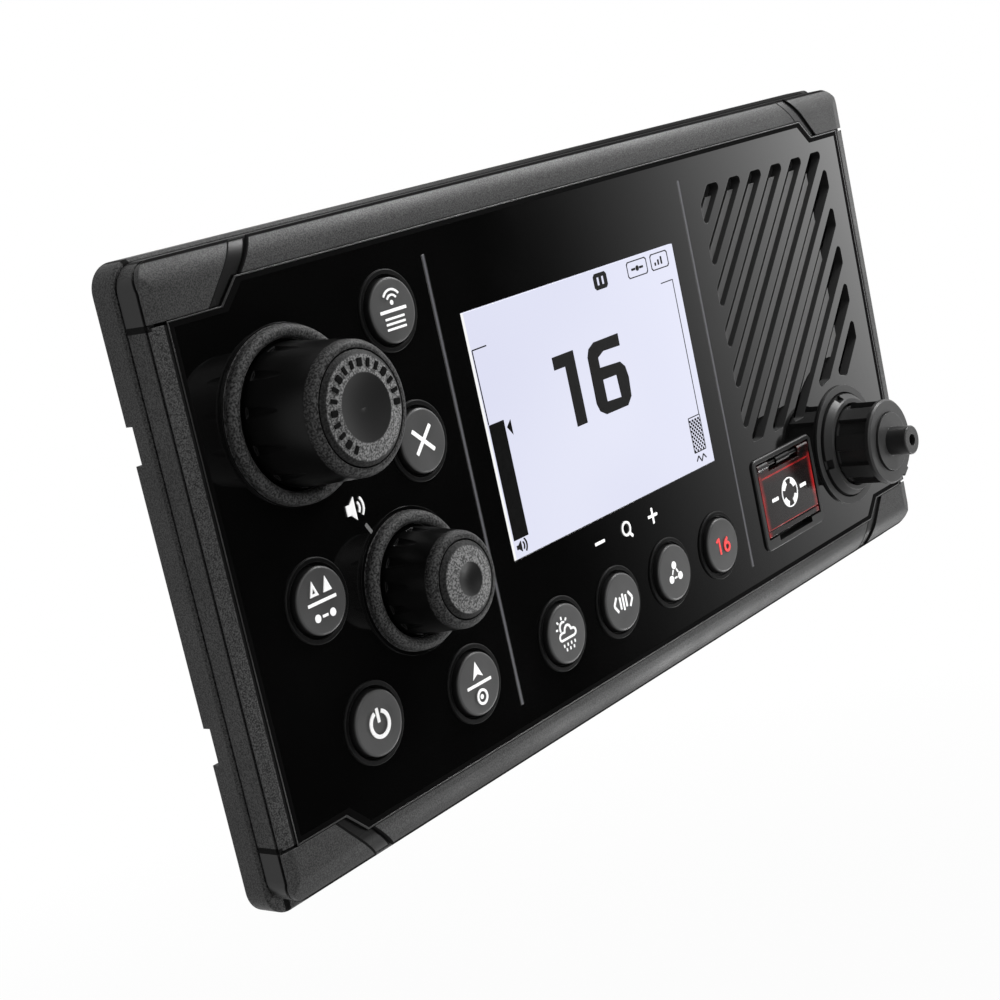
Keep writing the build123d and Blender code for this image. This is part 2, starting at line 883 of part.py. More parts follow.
with BuildPart() as dash_gasket:
    with BuildSketch(facing(0)):
        Rectangle(gasket_outer_width, gasket_outer_height)
        RectangleRounded(
            gasket_inner_width, gasket_inner_height, tub_corner, mode=Mode.SUBTRACT
        )
        with Locations(*mount_places):
            Circle(mount_head_radius, mode=Mode.SUBTRACT)
    extrude(amount=dash_gasket_thickness)
save("dash_gasket", dash_gasket)

with BuildPart() as body_gasket:
    with BuildSketch(facing(flange_front)):
        RectangleRounded(
            bezel_width - 2 * reveal_depth,
            bezel_height - 2 * reveal_depth,
            bezel_corner - reveal_depth,
        )
        RectangleRounded(
            tub_inner_width, tub_inner_height, tub_corner - tub_wall, mode=Mode.SUBTRACT
        )
        with Locations(*mount_places):
            Circle(mount_head_radius, mode=Mode.SUBTRACT)
    extrude(amount=body_gasket_thickness)
save("body_gasket", body_gasket)

with BuildPart() as chassis_heatsink:
    with BuildSketch(facing(tub_back)):
        RectangleRounded(chassis_foot_width, chassis_foot_height, chassis_corner)
    extrude(amount=-chassis_foot)
    with BuildSketch(facing(tub_back)):
        RectangleRounded(chassis_width, chassis_height, chassis_corner)
    extrude(amount=tub_back - chassis_back)
    with BuildSketch(facing(chassis_back - chassis_wall)):
        Rectangle(chassis_window_width, chassis_window_height)
    extrude(amount=chassis_back - chassis_wall - tub_back, mode=Mode.SUBTRACT)
    board_posts = GridLocations(
        main_board_width - 2 * board_post_radius,
        main_board_height - 2 * board_post_radius,
        2,
        2,
    )
    with BuildSketch(facing(chassis_back - chassis_wall)):
        with board_posts:
            Circle(board_post_radius)
    extrude(amount=chassis_back - chassis_wall - main_board_front - board_thickness)
    with BuildSketch(facing(chassis_back)):
        with Locations((antenna_x, connector_row)):
            Circle(antenna_thread_radius)
        with Locations((network_x, connector_row)):
            Circle(network_thread_radius)
        with Locations((power_x, connector_row)):
            Circle(gland_tip_radius)
    extrude(amount=chassis_wall, mode=Mode.SUBTRACT)
    with BuildSketch(facing(tub_back + chassis_foot)):
        with Locations(*chassis_screw_places):
            Circle(screw_radius)
    extrude(amount=chassis_foot, mode=Mode.SUBTRACT)
save("chassis_heatsink", chassis_heatsink)

with BuildPart() as heatsink_fins:
    with BuildSketch(facing(chassis_back)):
        with Locations((0, fin_middle)):
            Rectangle((fin_count - 1) * fin_pitch + fin_thickness, fin_top - fin_bottom)
    extrude(amount=-fin_base)
    with BuildSketch(facing(chassis_back + fin_base)):
        with Locations((0, fin_middle)):
            with GridLocations(fin_pitch, 1, fin_count, 1):
                Rectangle(fin_thickness, fin_top - fin_bottom)
    extrude(amount=-fin_height)
save("heatsink_fins", heatsink_fins)

# ---------------------------------------------------------------- fasteners
with BuildPart() as case_screws:
    with BuildSketch(facing(tub_back + screw_head_height)):
        with Locations(*case_screw_places):
            Circle(screw_head_radius)
    extrude(amount=screw_head_height)
    with BuildSketch(facing(tub_back)):
        with Locations(*case_screw_places):
            Circle(screw_radius)
    extrude(amount=tub_back - frame_back + screw_bite)
save("case_screws", case_screws)

with BuildPart() as chassis_screws:
    with BuildSketch(facing(tub_back + chassis_foot + screw_head_height)):
        with Locations(*chassis_screw_places):
            Circle(screw_head_radius)
    extrude(amount=screw_head_height)
    with BuildSketch(facing(tub_back + chassis_foot)):
        with Locations(*chassis_screw_places):
            Circle(screw_radius)
    extrude(amount=chassis_foot + tub_floor)
save("chassis_screws", chassis_screws)

# ---------------------------------------------------------------- display
lip_width = screen_width + 2 * window_lip
lip_height = screen_height + 2 * window_lip
leg_span_x = screen_width - 2 * backlight_leg_inset
leg_span_z = screen_height - 2 * backlight_leg_inset

with BuildPart() as display_window:
    with BuildSketch(facing(carrier)):
        with Locations(screen_place):
            Rectangle(screen_width, screen_height)
    extrude(amount=fascia_thickness)
    with BuildSketch(facing(window_back)):
        with Locations(screen_place):
            Rectangle(lip_width, lip_height)
    extrude(amount=window_lip_thickness)
save("display_window", display_window)

with BuildPart() as display_module:
    with BuildSketch(facing(display_back)):
        with Locations(screen_place):
            Rectangle(lip_width, lip_height)
    extrude(amount=display_thickness)
save("display_module", display_module)

with BuildPart() as backlight:
    with BuildSketch(facing(backlight_back)):
        with Locations(screen_place):
            Rectangle(lip_width, lip_height)
    extrude(amount=backlight_thickness)
    with BuildSketch(facing(board_front)):
        with Locations(screen_place):
            with GridLocations(leg_span_x, leg_span_z, 2, 2):
                Circle(backlight_leg_radius)
    extrude(amount=board_front - backlight_back)
save("backlight", backlight)

# ---------------------------------------------------------------- keys


def key(place):
    """Round key: soft-edged cap, retaining lip behind the fascia and a post to its dome."""
    lip_front = carrier + running_gap
    with BuildPart() as piece:
        with BuildSketch(facing(lip_front)):
            with Locations(place):
                Circle(key_radius)
        extrude(amount=lip_front - face + key_rise)
        fillet(piece.faces().sort_by(Axis.Y)[0].edges(), key_edge)
        with BuildSketch(facing(lip_front + key_lip_thickness)):
            with Locations(place):
                Circle(key_radius + key_lip)
        extrude(amount=key_lip_thickness)
        with BuildSketch(facing(post_end)):
            with Locations(place):
                Circle(key_post_radius)
        extrude(amount=post_end - lip_front)
    return piece


for name, place in key_places.items():
    save(name, key(place))

with BuildPart() as key_rings:
    with BuildSketch(facing(face)):
        with Locations(*key_places.values()):
            Circle(key_ring_radius)
            Circle(key_ring_radius - key_ring_width, mode=Mode.SUBTRACT)
    extrude(amount=key_ring_rise)
    outer_rims = key_rings.faces().sort_by(Axis.Y)[: len(key_places)].edges()
    chamfer(outer_rims, key_ring_chamfer)
save("key_rings", key_rings)

with BuildPart() as keypad_membrane:
    left_x, left_z = key_places["traffic_key"]
    corner_x, corner_z = key_places["power_key"]
    column_x, row_z = key_places["waypoint_key"]
    top_z = key_places["call_key"][1]
    with BuildSketch(facing(board_front)):
        with BuildLine():
            Polyline((left_x, left_z), (corner_x, corner_z), (column_x, row_z))
        trace(line_width=membrane_strip)
        with Locations(*key_places.values(), distress_place):
            Circle(dome_radius + running_gap)
        with Locations(((column_x + distress_place[0]) / 2, row_z)):
            Rectangle(distress_place[0] - column_x, membrane_strip)
        with Locations((column_x, (row_z + top_z) / 2)):
            Rectangle(membrane_strip, top_z - row_z)
    extrude(amount=membrane_thickness)
    with BuildSketch(facing(membrane_front)):
        with Locations(*key_places.values(), distress_place):
            Circle(dome_radius)
    extrude(amount=dome_height, taper=dome_taper)
save("keypad_membrane", keypad_membrane)

# ---------------------------------------------------------------- boards
board_left = -(tub_inner_width / 2 - 2 * fit_gap)
board_right = screen_place[0] + lip_width / 2 + board_margin
board_half_height = tub_inner_height / 2 - 2 * fit_gap
tongue_top = speaker_place[1] - speaker_radius - board_speaker_gap
tongue_right = case_screw_places[-1][0] + spigot_radius

with BuildPart() as front_board:
    with BuildSketch(facing(board_back)):
        with Locations(((board_left + board_right) / 2, 0)):
            RectangleRounded(board_right - board_left, 2 * board_half_height, tub_corner)
        with Locations((board_right - tub_corner, -board_half_height)):
            Rectangle(
                tongue_right - board_right + tub_corner,
                tongue_top + board_half_height,
                align=(Align.MIN, Align.MIN),
            )
        with Locations(*case_screw_places):
            Circle(spigot_radius + fit_gap, mode=Mode.SUBTRACT)
    extrude(amount=board_thickness)
save("front_board", front_board)

with BuildPart() as main_board:
    with BuildSketch(facing(main_board_front + board_thickness)):
        Rectangle(main_board_width, main_board_height)
    extrude(amount=board_thickness)
save("main_board", main_board)

with BuildPart() as rf_shield:
    with BuildSketch(facing(main_board_front)):
        Rectangle(shield_width, shield_height)
    extrude(amount=shield_rise)
    with BuildSketch(facing(main_board_front)):
        Rectangle(shield_width - 2 * shield_skin, shield_height - 2 * shield_skin)
    extrude(amount=shield_rise - shield_skin, mode=Mode.SUBTRACT)
save("rf_shield", rf_shield)

with BuildPart() as power_amplifier:
    with BuildSketch(facing(chassis_back - chassis_wall)):
        with Locations((0, amplifier_z)):
            Rectangle(amplifier_width, amplifier_height)
    extrude(amount=amplifier_thickness)
save("power_amplifier", power_amplifier)

# ---------------------------------------------------------------- knobs
knob_lift = knob_plate_thickness + knob_travel + 2 * running_gap
encoder_front = frame_back + encoder_lift
encoder_floor_front = board_front - encoder_floor
plunger_back = encoder_floor_front - knob_travel - running_gap
plunger_front = plunger_back - plunger_thickness
shaft_end = plunger_front - running_gap


def knob_collar(place, sizes):
    """Thin plate on the fascia with the round raised ring that surrounds the skirt."""
    ring = sizes["ring"]
    with BuildPart() as collar:
        with BuildSketch(section(place)):
            with Locations((bush_radius + running_gap, 0)):
                Rectangle(
                    sizes["plate"] - bush_radius - running_gap,
                    knob_plate_thickness,
                    align=(Align.MIN, Align.MIN),
                )
            with Locations((ring, 0)):
                Rectangle(
                    2 * knob_ring_neck, knob_ring_section, align=(Align.CENTER, Align.MIN)
                )
            with Locations((ring, knob_ring_section)):
                Circle(knob_ring_section)
        revolve(axis=turning(place))
    return collar


def knob_shaft(place, sizes):
    """Round shaft with a flat where the knob grips it."""
    top = sizes["height"] - knob_roof - shaft_stop_gap
    with BuildPart() as shaft:
        with BuildSketch(facing(shaft_end)):
            with Locations(place):
                Circle(shaft_radius)
        extrude(amount=shaft_end - face + top)
        with BuildSketch(facing(face - knob_hub_lift)):
            with Locations((place[0], place[1] + shaft_radius - shaft_flat)):
                Rectangle(
                    2 * shaft_radius, 2 * shaft_flat, align=(Align.CENTER, Align.MIN)
                )
        extrude(amount=top, mode=Mode.SUBTRACT)
    return shaft


def knob_shell(place, sizes, shaft):
    """Knob with a tapered fluted skirt, a rounded crown, a recess for its cap and a hub."""
    base, crown, groove, height = (
        sizes[name] for name in ("base", "crown", "groove", "height")
    )
    crown_foot = height - knob_crown_drop
    groove_top = height - knob_groove_drop
    recess = groove_top - knob_groove_depth
    cavity_roof = height - knob_roof
    cavity = crown - knob_wall
    flute_circle = base - flute_depth + flute_radius
    shoulder = (
        groove + (crown - groove) * knob_shoulder_out,
        crown_foot + (groove_top - crown_foot) * knob_shoulder_up,
    )
    with BuildPart() as shell:
        with BuildSketch(section(place)):
            with BuildLine():
                Polyline(
                    (0, recess),
                    (0, cavity_roof),
                    (cavity, cavity_roof),
                    (cavity, knob_lift),
                    (base, knob_lift),
                    (base, knob_lift + knob_foot),
                    (crown, crown_foot),
                )
                ThreePointArc((crown, crown_foot), shoulder, (groove, groove_top))
                Polyline((groove, groove_top), (groove, recess), (0, recess))
            make_face()
        revolve(axis=turning(place))
        with BuildSketch(facing(face - knob_hub_lift)):
            with Locations(place):
                Circle(knob_hub_radius)
        extrude(amount=cavity_roof - knob_hub_lift)
        with BuildSketch(facing(face - flute_start)):
            with Locations(place):
                with PolarLocations(flute_circle, sizes["flutes"], flute_turn):
                    Circle(flute_radius)
        extrude(amount=height, mode=Mode.SUBTRACT)
        add(shaft.part, mode=Mode.SUBTRACT)
    return shell


def knob_cap(place, sizes):
    """Insert in the knob's crown, with a shallow dish in its middle."""
    dimple, height = sizes["dimple"], sizes["height"]
    outer = sizes["groove"] - knob_groove_width
    groove_top = height - knob_groove_drop
    recess = groove_top - knob_groove_depth
    dish_radius = (dimple**2 + knob_dimple_depth**2) / (2 * knob_dimple_depth)
    dish_bottom = height - knob_dimple_depth
    half_way = dish_bottom + dish_radius - sqrt(dish_radius**2 - (dimple / 2) ** 2)
    with BuildPart() as cap:
        with BuildSketch(section(place)):
            with BuildLine():
                ThreePointArc((0, dish_bottom), (dimple / 2, half_way), (dimple, height))
                Polyline(
                    (dimple, height),
                    (sizes["cap"], height - knob_cap_drop),
                    (outer, groove_top),
                    (outer, recess),
                    (0, recess),
                    (0, dish_bottom),
                )
            make_face()
        revolve(axis=turning(place))
    return cap


def knob_plunger(place):
    """Disc behind the shaft that presses the push switch."""
    with BuildPart() as plunger:
        with BuildSketch(facing(plunger_back)):
            with Locations(place):
                Circle(plunger_radius)
        extrude(amount=plunger_thickness)
    return plunger


def knob_encoder(place):
    """Rotary encoder on the front board, with the bush that carries the shaft."""
    with BuildPart() as encoder:
        with BuildSketch(facing(board_front)):
            with Locations(place):
                Rectangle(encoder_size, encoder_size)
        extrude(amount=board_front - encoder_front)
        with BuildSketch(facing(encoder_front)):
            with Locations(place):
                Circle(bush_radius)
        extrude(amount=encoder_front - face + bush_rise)
        with BuildSketch(facing(encoder_floor_front)):
            with Locations(place):
                Circle(shaft_radius + shaft_gap)
        extrude(amount=encoder_floor_front - face + bush_rise, mode=Mode.SUBTRACT)
    return encoder


for title, place, sizes in (
    ("channel", channel_place, channel_sizes),
    ("volume", volume_place, volume_sizes),
):
    shaft = knob_shaft(place, sizes)
    save(f"{title}_collar", knob_collar(place, sizes))
    save(f"{title}_shaft", shaft)
    save(f"{title}_knob", knob_shell(place, sizes, shaft))
    save(f"{title}_knob_cap", knob_cap(place, sizes))
    save(f"{title}_plunger", knob_plunger(place))
    save(f"{title}_encoder", knob_encoder(place))

# ---------------------------------------------------------------- speaker
with BuildPart() as speaker_mesh:
    with BuildSketch(facing(frame_back - baffle_thickness)):
        with Locations(speaker_place):
            Circle(speaker_opening + mesh_overlap)
    extrude(amount=mesh_thickness)
save("speaker_mesh", speaker_mesh)

with BuildPart() as speaker_frame:
    add(
        spun(
            speaker_place,
            (
                (speaker_opening, 0),
                (speaker_radius, 0),
                (speaker_radius, -basket_rim),
                (speaker_opening + basket_lip, -basket_rim),
                (magnet_radius, -basket_depth),
                (cone_throat + basket_lip, -basket_depth),
                (cone_throat + basket_lip, -basket_depth + basket_wall),
                (magnet_radius - basket_wall, -basket_depth + basket_wall),
                (speaker_opening + basket_lip - 1.5 * basket_wall, -basket_rim),
                (speaker_opening, -basket_rim),
            ),
            frame_back,
        )
    )
    with BuildSketch(facing(frame_back + basket_depth - basket_window_margin)):
        with Locations(speaker_place):
            with PolarLocations((speaker_opening + magnet_radius) / 2, basket_window_count):
                Circle(basket_window_radius)
    extrude(amount=basket_depth - basket_rim - 2 * basket_window_margin, mode=Mode.SUBTRACT)
save("speaker_frame", speaker_frame)

with BuildPart() as speaker_cone:
    cone_rim = -(basket_rim - cone_thickness) / 2
    cone_foot = -basket_depth + 2 * basket_wall + cone_thickness
    add(
        spun(
            speaker_place,
            (
                (speaker_opening, cone_rim),
                (speaker_opening - cone_surround, cone_rim),
                (cone_throat, cone_foot),
                (0, cone_foot + dust_cap_rise),
                (0, cone_foot + dust_cap_rise - cone_thickness),
                (cone_throat, cone_foot - cone_thickness),
                (speaker_opening - cone_surround, cone_rim - cone_thickness),
                (speaker_opening, cone_rim - cone_thickness),
            ),
            frame_back,
        )
    )
save("speaker_cone", speaker_cone)

with BuildPart() as speaker_magnet:
    with BuildSketch(facing(frame_back + basket_depth + magnet_thickness)):
        with Locations(speaker_place):
            Circle(magnet_radius)
    extrude(amount=magnet_thickness)
    fillet(speaker_magnet.faces().sort_by(Axis.Y)[-1].edges(), magnet_edge)
save("speaker_magnet", speaker_magnet)

# ---------------------------------------------------------------- distress switch
distress_x, distress_z = distress_place
rim_front = face - distress_rim
distress_floor_front = frame_back - distress_floor
flap_front = face - flap_proud
flap_back = flap_front + flap_thickness
hinge_y = flap_front + hinge_pin_depth
hinge_z = distress_z + distress_cavity_top - hinge_pin_inset
cavity_floor_z = distress_z - distress_cavity_bottom
flap_end_z = cavity_floor_z + flap_gap
hinge_pin_length = distress_width - 2 * distress_overlap - 2 * fit_gap

with BuildPart() as distress_frame:
    with BuildSketch(facing(frame_back)):
        with Locations(distress_place):
            RectangleRounded(
                distress_width - 2 * distress_overlap,
                distress_height - 2 * distress_overlap,
                distress_corner - distress_overlap,
            )
    extrude(amount=frame_back - face)
    with BuildSketch(facing(face)):
        with Locations(distress_place):
            RectangleRounded(distress_width, distress_height, distress_corner)
    extrude(amount=distress_rim)
    chamfer(distress_frame.faces().sort_by(Axis.Y)[0].edges(), distress_rim_chamfer)
    with BuildSketch(facing(distress_floor_front)):
        with Locations((distress_x, cavity_floor_z)):
            Rectangle(
                distress_cavity_width,
                distress_cavity_top + distress_cavity_bottom,
                align=(Align.CENTER, Align.MIN),
            )
    extrude(amount=distress_floor_front - rim_front, mode=Mode.SUBTRACT)
    with BuildSketch(facing(rim_front + notch_depth)):
        with Locations((distress_x, cavity_floor_z - notch_height)):
            Rectangle(notch_width, 2 * notch_height, align=(Align.CENTER, Align.MIN))
    extrude(amount=notch_depth, mode=Mode.SUBTRACT)
    with BuildSketch(facing(frame_back)):
        with Locations(distress_place):
            Circle(distress_stem_radius + fit_gap)
    extrude(amount=distress_floor, mode=Mode.SUBTRACT)
    with BuildSketch(Plane.YZ.offset(distress_x)):
        with Locations((hinge_y, hinge_z)):
            Circle(hinge_pin_radius)
    extrude(amount=hinge_pin_length / 2, both=True, mode=Mode.SUBTRACT)
save("distress_frame", distress_frame)

with BuildPart() as distress_flap:
    with BuildSketch(facing(flap_back)):
        with Locations((distress_x, flap_end_z)):
            Rectangle(flap_width, hinge_z - flap_end_z, align=(Align.CENTER, Align.MIN))
    extrude(amount=flap_thickness)
    with BuildSketch(Plane.YZ.offset(distress_x)):
        with Locations((hinge_y, hinge_z)):
            Circle(knuckle_radius)
    extrude(amount=flap_width / 2, both=True)
    with BuildSketch(facing(flap_back + knuckle_radius)):
        with Locations((distress_x, hinge_z - knuckle_radius - flap_gap)):
            Rectangle(
                flap_width - 2 * knuckle_length,
                4 * knuckle_radius,
                align=(Align.CENTER, Align.MIN),
            )
    extrude(amount=flap_thickness + 3 * knuckle_radius, mode=Mode.SUBTRACT)
    with BuildSketch(Plane.YZ.offset(distress_x)):
        with Locations((hinge_y, hinge_z)):
            Circle(hinge_pin_radius + hinge_pin_gap)
    extrude(amount=flap_width, both=True, mode=Mode.SUBTRACT)
    with BuildSketch(facing(flap_front)):
        with Locations((distress_x, flap_end_z + flap_lip)):
            Rectangle(flap_width, flap_groove)
    extrude(amount=-flap_groove, mode=Mode.SUBTRACT)
save("distress_flap", distress_flap)

with BuildPart() as distress_hinge_pin:
    with BuildSketch(Plane.YZ.offset(distress_x)):
        with Locations((hinge_y, hinge_z)):
            Circle(hinge_pin_radius)
    extrude(amount=hinge_pin_length / 2, both=True)
save("distress_hinge_pin", distress_hinge_pin)

with BuildPart() as distress_spring:
    with BuildSketch(Plane.YZ.offset(distress_x)):
        with Locations((hinge_y, hinge_z)):
            Circle(hinge_pin_radius + spring_wall)
            Circle(hinge_pin_radius, mode=Mode.SUBTRACT)
    extrude(amount=spring_length / 2, both=True)
    leg_front = hinge_y + hinge_pin_radius
    with BuildSketch(facing(distress_floor_front)):
        with Locations((distress_x + spring_length / 2, hinge_z)):
            Rectangle(spring_wall, spring_wall, align=(Align.MAX, Align.CENTER))
    extrude(amount=distress_floor_front - leg_front)
save("distress_spring", distress_spring)

with BuildPart() as distress_button:
    button_back = distress_floor_front - key_travel - running_gap
    collar_front = frame_back + running_gap
    with BuildSketch(facing(button_back)):
        with Locations(distress_place):
            RectangleRounded(
                distress_button_width, distress_button_height, distress_button_corner
            )
    extrude(amount=distress_button_rise)
    fillet(distress_button.faces().sort_by(Axis.Y)[0].edges(), key_edge)
    with BuildSketch(facing(post_end)):
        with Locations(distress_place):
            Circle(distress_stem_radius)
    extrude(amount=post_end - button_back)
    with BuildSketch(facing(collar_front + key_lip_thickness)):
        with Locations(distress_place):
            Circle(distress_collar_radius)
    extrude(amount=key_lip_thickness)
save("distress_button", distress_button)

# ---------------------------------------------------------------- microphone connector
mic_seat = face - (carrier + mic_seat_depth)

with BuildPart() as mic_socket:
    add(
        spun(
            mic_place,
            (
                (0, mic_seat - mic_tail_length),
                (mic_tail_radius, mic_seat - mic_tail_length),
                (mic_tail_radius, mic_seat),
                (mic_body_radius, mic_seat),
                (mic_body_radius, 0),
                (mic_ring_radius, 0),
                (mic_ring_radius, mic_ring_rise),
                (mic_ring_radius - mic_ring_width, mic_ring_rise),
                (mic_ring_radius - mic_ring_width, mic_ring_rise - mic_gutter_drop),
                (mic_body_radius, mic_ring_rise - mic_gutter_drop),
                (mic_body_radius, mic_lock_wall),
                (mic_lock_top_radius, mic_lock_rise),
                (mic_lock_bore, mic_lock_rise),
                (mic_lock_bore, -mic_ring_rise),
                (mic_barrel_radius, -mic_ring_rise),
                (mic_barrel_radius, mic_barrel_rise),
                (mic_barrel_bore, mic_barrel_rise),
                (mic_barrel_bore, -mic_barrel_floor),
                (0, -mic_barrel_floor),
            ),
        )
    )
    with BuildSketch(facing(face - mic_ring_rise)):
        with Locations(mic_place):
            with PolarLocations(mic_body_radius, 4, mic_lock_turn):
                Rectangle(2 * mic_lock_notch_depth, mic_lock_notch)
    extrude(amount=mic_lock_rise, mode=Mode.SUBTRACT)
    with BuildSketch(facing(face + mic_barrel_floor)):
        with Locations(mic_place):
            with PolarLocations(mic_pin_circle, mic_pin_count):
                Circle(mic_pin_radius)
    extrude(amount=mic_barrel_floor)
save("mic_socket", mic_socket)

with BuildPart() as mic_plug:
    nut_front_face = nut_disc_front - nut_front_wall
    flange_front_height = nut_front_face - running_gap
    insert_end = insert_end_gap - mic_barrel_floor
    add(
        spun(
            mic_place,
            (
                (0, insert_end),
                (insert_radius, insert_end),
                (insert_radius, mic_barrel_rise + fit_gap),
                (nut_bore - fit_gap, mic_barrel_rise + fit_gap),
                (nut_bore - fit_gap, flange_front_height),
                (boss_radius, flange_front_height),
                (boss_radius, boss_rise),
                (stem_radius, boss_rise),
                (stem_radius, stem_rise),
                (0, stem_rise),
            ),
        )
    )
    with BuildSketch(facing(face - flange_front_height)):
        with Locations(mic_place):
            Circle(cable_bore)
    extrude(amount=stem_rise - flange_front_height, mode=Mode.SUBTRACT)
    with BuildSketch(facing(face - insert_end)):
        with Locations(mic_place):
            with PolarLocations(mic_pin_circle, mic_pin_count):
                Circle(mic_pin_radius + running_gap)
    extrude(amount=running_gap - insert_end, mode=Mode.SUBTRACT)
    fillet(mic_plug.faces().sort_by(Axis.Y)[0].outer_wire().edges(), stem_edge)
save("mic_plug", mic_plug)

with BuildPart() as mic_nut:
    nut_front_face = nut_disc_front - nut_front_wall
    add(
        spun(
            mic_place,
            (
                (nut_bore, nut_back),
                (nut_hub_radius, nut_back),
                (nut_hub_radius, nut_shoulder),
                (nut_body_radius, nut_shoulder),
                (nut_body_radius, nut_disc_back),
                (nut_disc_radius, nut_disc_back),
                (nut_disc_radius, nut_disc_front - nut_disc_chamfer),
                (nut_disc_radius - nut_disc_chamfer, nut_disc_front),
                (boss_radius + running_gap, nut_disc_front),
                (boss_radius + running_gap, nut_front_face),
                (nut_bore, nut_front_face),
            ),
        )
    )
    with BuildSketch(facing(face - nut_shoulder)):
        with Locations(mic_place):
            with PolarLocations(nut_rib_radius, nut_rib_count, nut_rib_turn):
                Rectangle(
                    nut_rib_radius - (nut_bore + nut_body_radius) / 2,
                    nut_rib_width,
                    align=(Align.MAX, Align.CENTER),
                )
    extrude(amount=nut_disc_back - nut_shoulder)
    with BuildSketch(facing(face - nut_disc_back)):
        with Locations(mic_place):
            with PolarLocations(nut_lug_radius, 1, nut_lug_angle):
                Rectangle(
                    nut_lug_radius - nut_body_radius,
                    nut_lug_width,
                    align=(Align.MAX, Align.CENTER),
                )
    extrude(amount=nut_disc_front - nut_disc_back - nut_disc_chamfer)
save("mic_nut", mic_nut)

# ---------------------------------------------------------------- rear connectors
with BuildPart() as antenna_socket:
    antenna_place = (antenna_x, connector_row)
    antenna_base = chassis_back + antenna_flange_thickness
    antenna_tip = antenna_base + antenna_thread_length
    with BuildSketch(facing(antenna_base)):
        with Locations(antenna_place):
            RectangleRounded(antenna_flange, antenna_flange, antenna_flange_corner)
    extrude(amount=antenna_flange_thickness)
    with BuildSketch(facing(antenna_tip)):
        with Locations(antenna_place):
            Circle(antenna_thread_radius)
    extrude(amount=antenna_tip - chassis_back + chassis_wall)
    with BuildSketch(facing(antenna_tip)):
        with Locations(antenna_place):
            Circle(antenna_bore)
            Circle(antenna_contact_radius, mode=Mode.SUBTRACT)
    extrude(amount=antenna_thread_length - socket_floor, mode=Mode.SUBTRACT)
    with BuildSketch(facing(antenna_tip)):
        with Locations(antenna_place):
            Circle(antenna_contact_bore)
    extrude(amount=antenna_thread_length - socket_floor, mode=Mode.SUBTRACT)
save("antenna_socket", antenna_socket)

with BuildPart() as network_socket:
    network_place = (network_x, connector_row)
    network_base = chassis_back + antenna_flange_thickness
    network_tip = network_base + network_thread_length
    with BuildSketch(facing(network_base)):
        with Locations(network_place):
            RegularPolygon(network_nut_radius, 6)
    extrude(amount=antenna_flange_thickness)
    with BuildSketch(facing(network_tip)):
        with Locations(network_place):
            Circle(network_thread_radius)
    extrude(amount=network_tip - chassis_back + chassis_wall)
    with BuildSketch(facing(network_tip)):
        with Locations(network_place):
            Circle(network_bore)
            with PolarLocations(network_bore / 2, network_pin_count - 1, 45):
                Circle(mic_pin_radius, mode=Mode.SUBTRACT)
            Circle(mic_pin_radius, mode=Mode.SUBTRACT)
    extrude(amount=network_thread_length - socket_floor, mode=Mode.SUBTRACT)
save("network_socket", network_socket)

with BuildPart() as power_gland:
    power_place = (power_x, connector_row)
    add(
        spun(
            power_place,
            (
                (power_cable_bore, chassis_wall),
                (gland_tip_radius, chassis_wall),
                (gland_tip_radius, 0),
                (gland_base_radius, 0),
                (gland_base_radius, -gland_base_length),
                (gland_tip_radius, -gland_base_length - gland_neck),
                (gland_tip_radius, -gland_length),
                (power_cable_bore, -gland_length),
            ),
            chassis_back,
        )
    )
save("power_gland", power_gland)
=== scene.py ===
import math

import bpy
from mathutils import Matrix, Vector


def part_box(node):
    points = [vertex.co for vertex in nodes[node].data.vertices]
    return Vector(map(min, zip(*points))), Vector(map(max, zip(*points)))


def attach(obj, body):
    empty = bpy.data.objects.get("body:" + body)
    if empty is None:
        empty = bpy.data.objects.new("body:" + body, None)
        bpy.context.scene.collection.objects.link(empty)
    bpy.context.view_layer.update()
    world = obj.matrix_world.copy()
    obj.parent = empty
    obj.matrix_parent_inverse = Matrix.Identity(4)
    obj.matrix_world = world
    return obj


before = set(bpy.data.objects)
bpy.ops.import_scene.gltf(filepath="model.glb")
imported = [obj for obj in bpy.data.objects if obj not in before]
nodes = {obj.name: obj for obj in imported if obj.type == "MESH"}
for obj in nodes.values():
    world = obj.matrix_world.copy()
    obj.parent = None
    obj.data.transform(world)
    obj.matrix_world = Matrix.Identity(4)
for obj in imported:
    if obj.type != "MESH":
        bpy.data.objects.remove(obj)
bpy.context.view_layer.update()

# Fixed-mount marine radio. X runs to the user's right, Z up, and -Y points at the user.
# Places on the front are (X, Z) pairs in millimetres and become metres where they are used.
MM = 0.001
FACE = -9.5  # front of the glossy panel
KEY_TOP = FACE - 1.2
FLAP_FRONT = FACE - 0.4
SCREEN_FRONT = FACE
CHANNEL_CAP_FRONT = FACE - 15.05
CAP_EDGE = 38.4  # height where the sides of the corner caps end
# from OUTER_EDGE outwards the rails and caps are painted dark as shade
OUTER_EDGE = 46.45  # height from which rails and caps turn dark
RAIL_EDGE = 46.0  # height where the frame passes behind the rails
FRAME_SIDE = 96.5  # outermost part of the frame's sides
PANEL_EDGE = 93.5  # side edge of the glossy panel
PANEL_TOP = 41.35
STEP_SIDE = 83.2  # the panel's corners are stepped in to here
STEP_TOP = 37.75
STEP_SLANT = 3.7  # width of the slanted part of each step
SEAM_LEAN = 0.9012  # slant of the seams between rails and caps
SEAM = 85.4 + 38.8 * SEAM_LEAN
STRIPE = 3.5  # smooth stripe along each seam
DIVIDERS = (-40.2, 33.3)
SCREEN = (-3.5, 6.0)
INK = 0.05  # how far a printed mark stands proud
INK_SUNK = 0.1  # how far it reaches into what carries it
INK_STEP = 0.002  # each stroke of a mark lies this much above the last

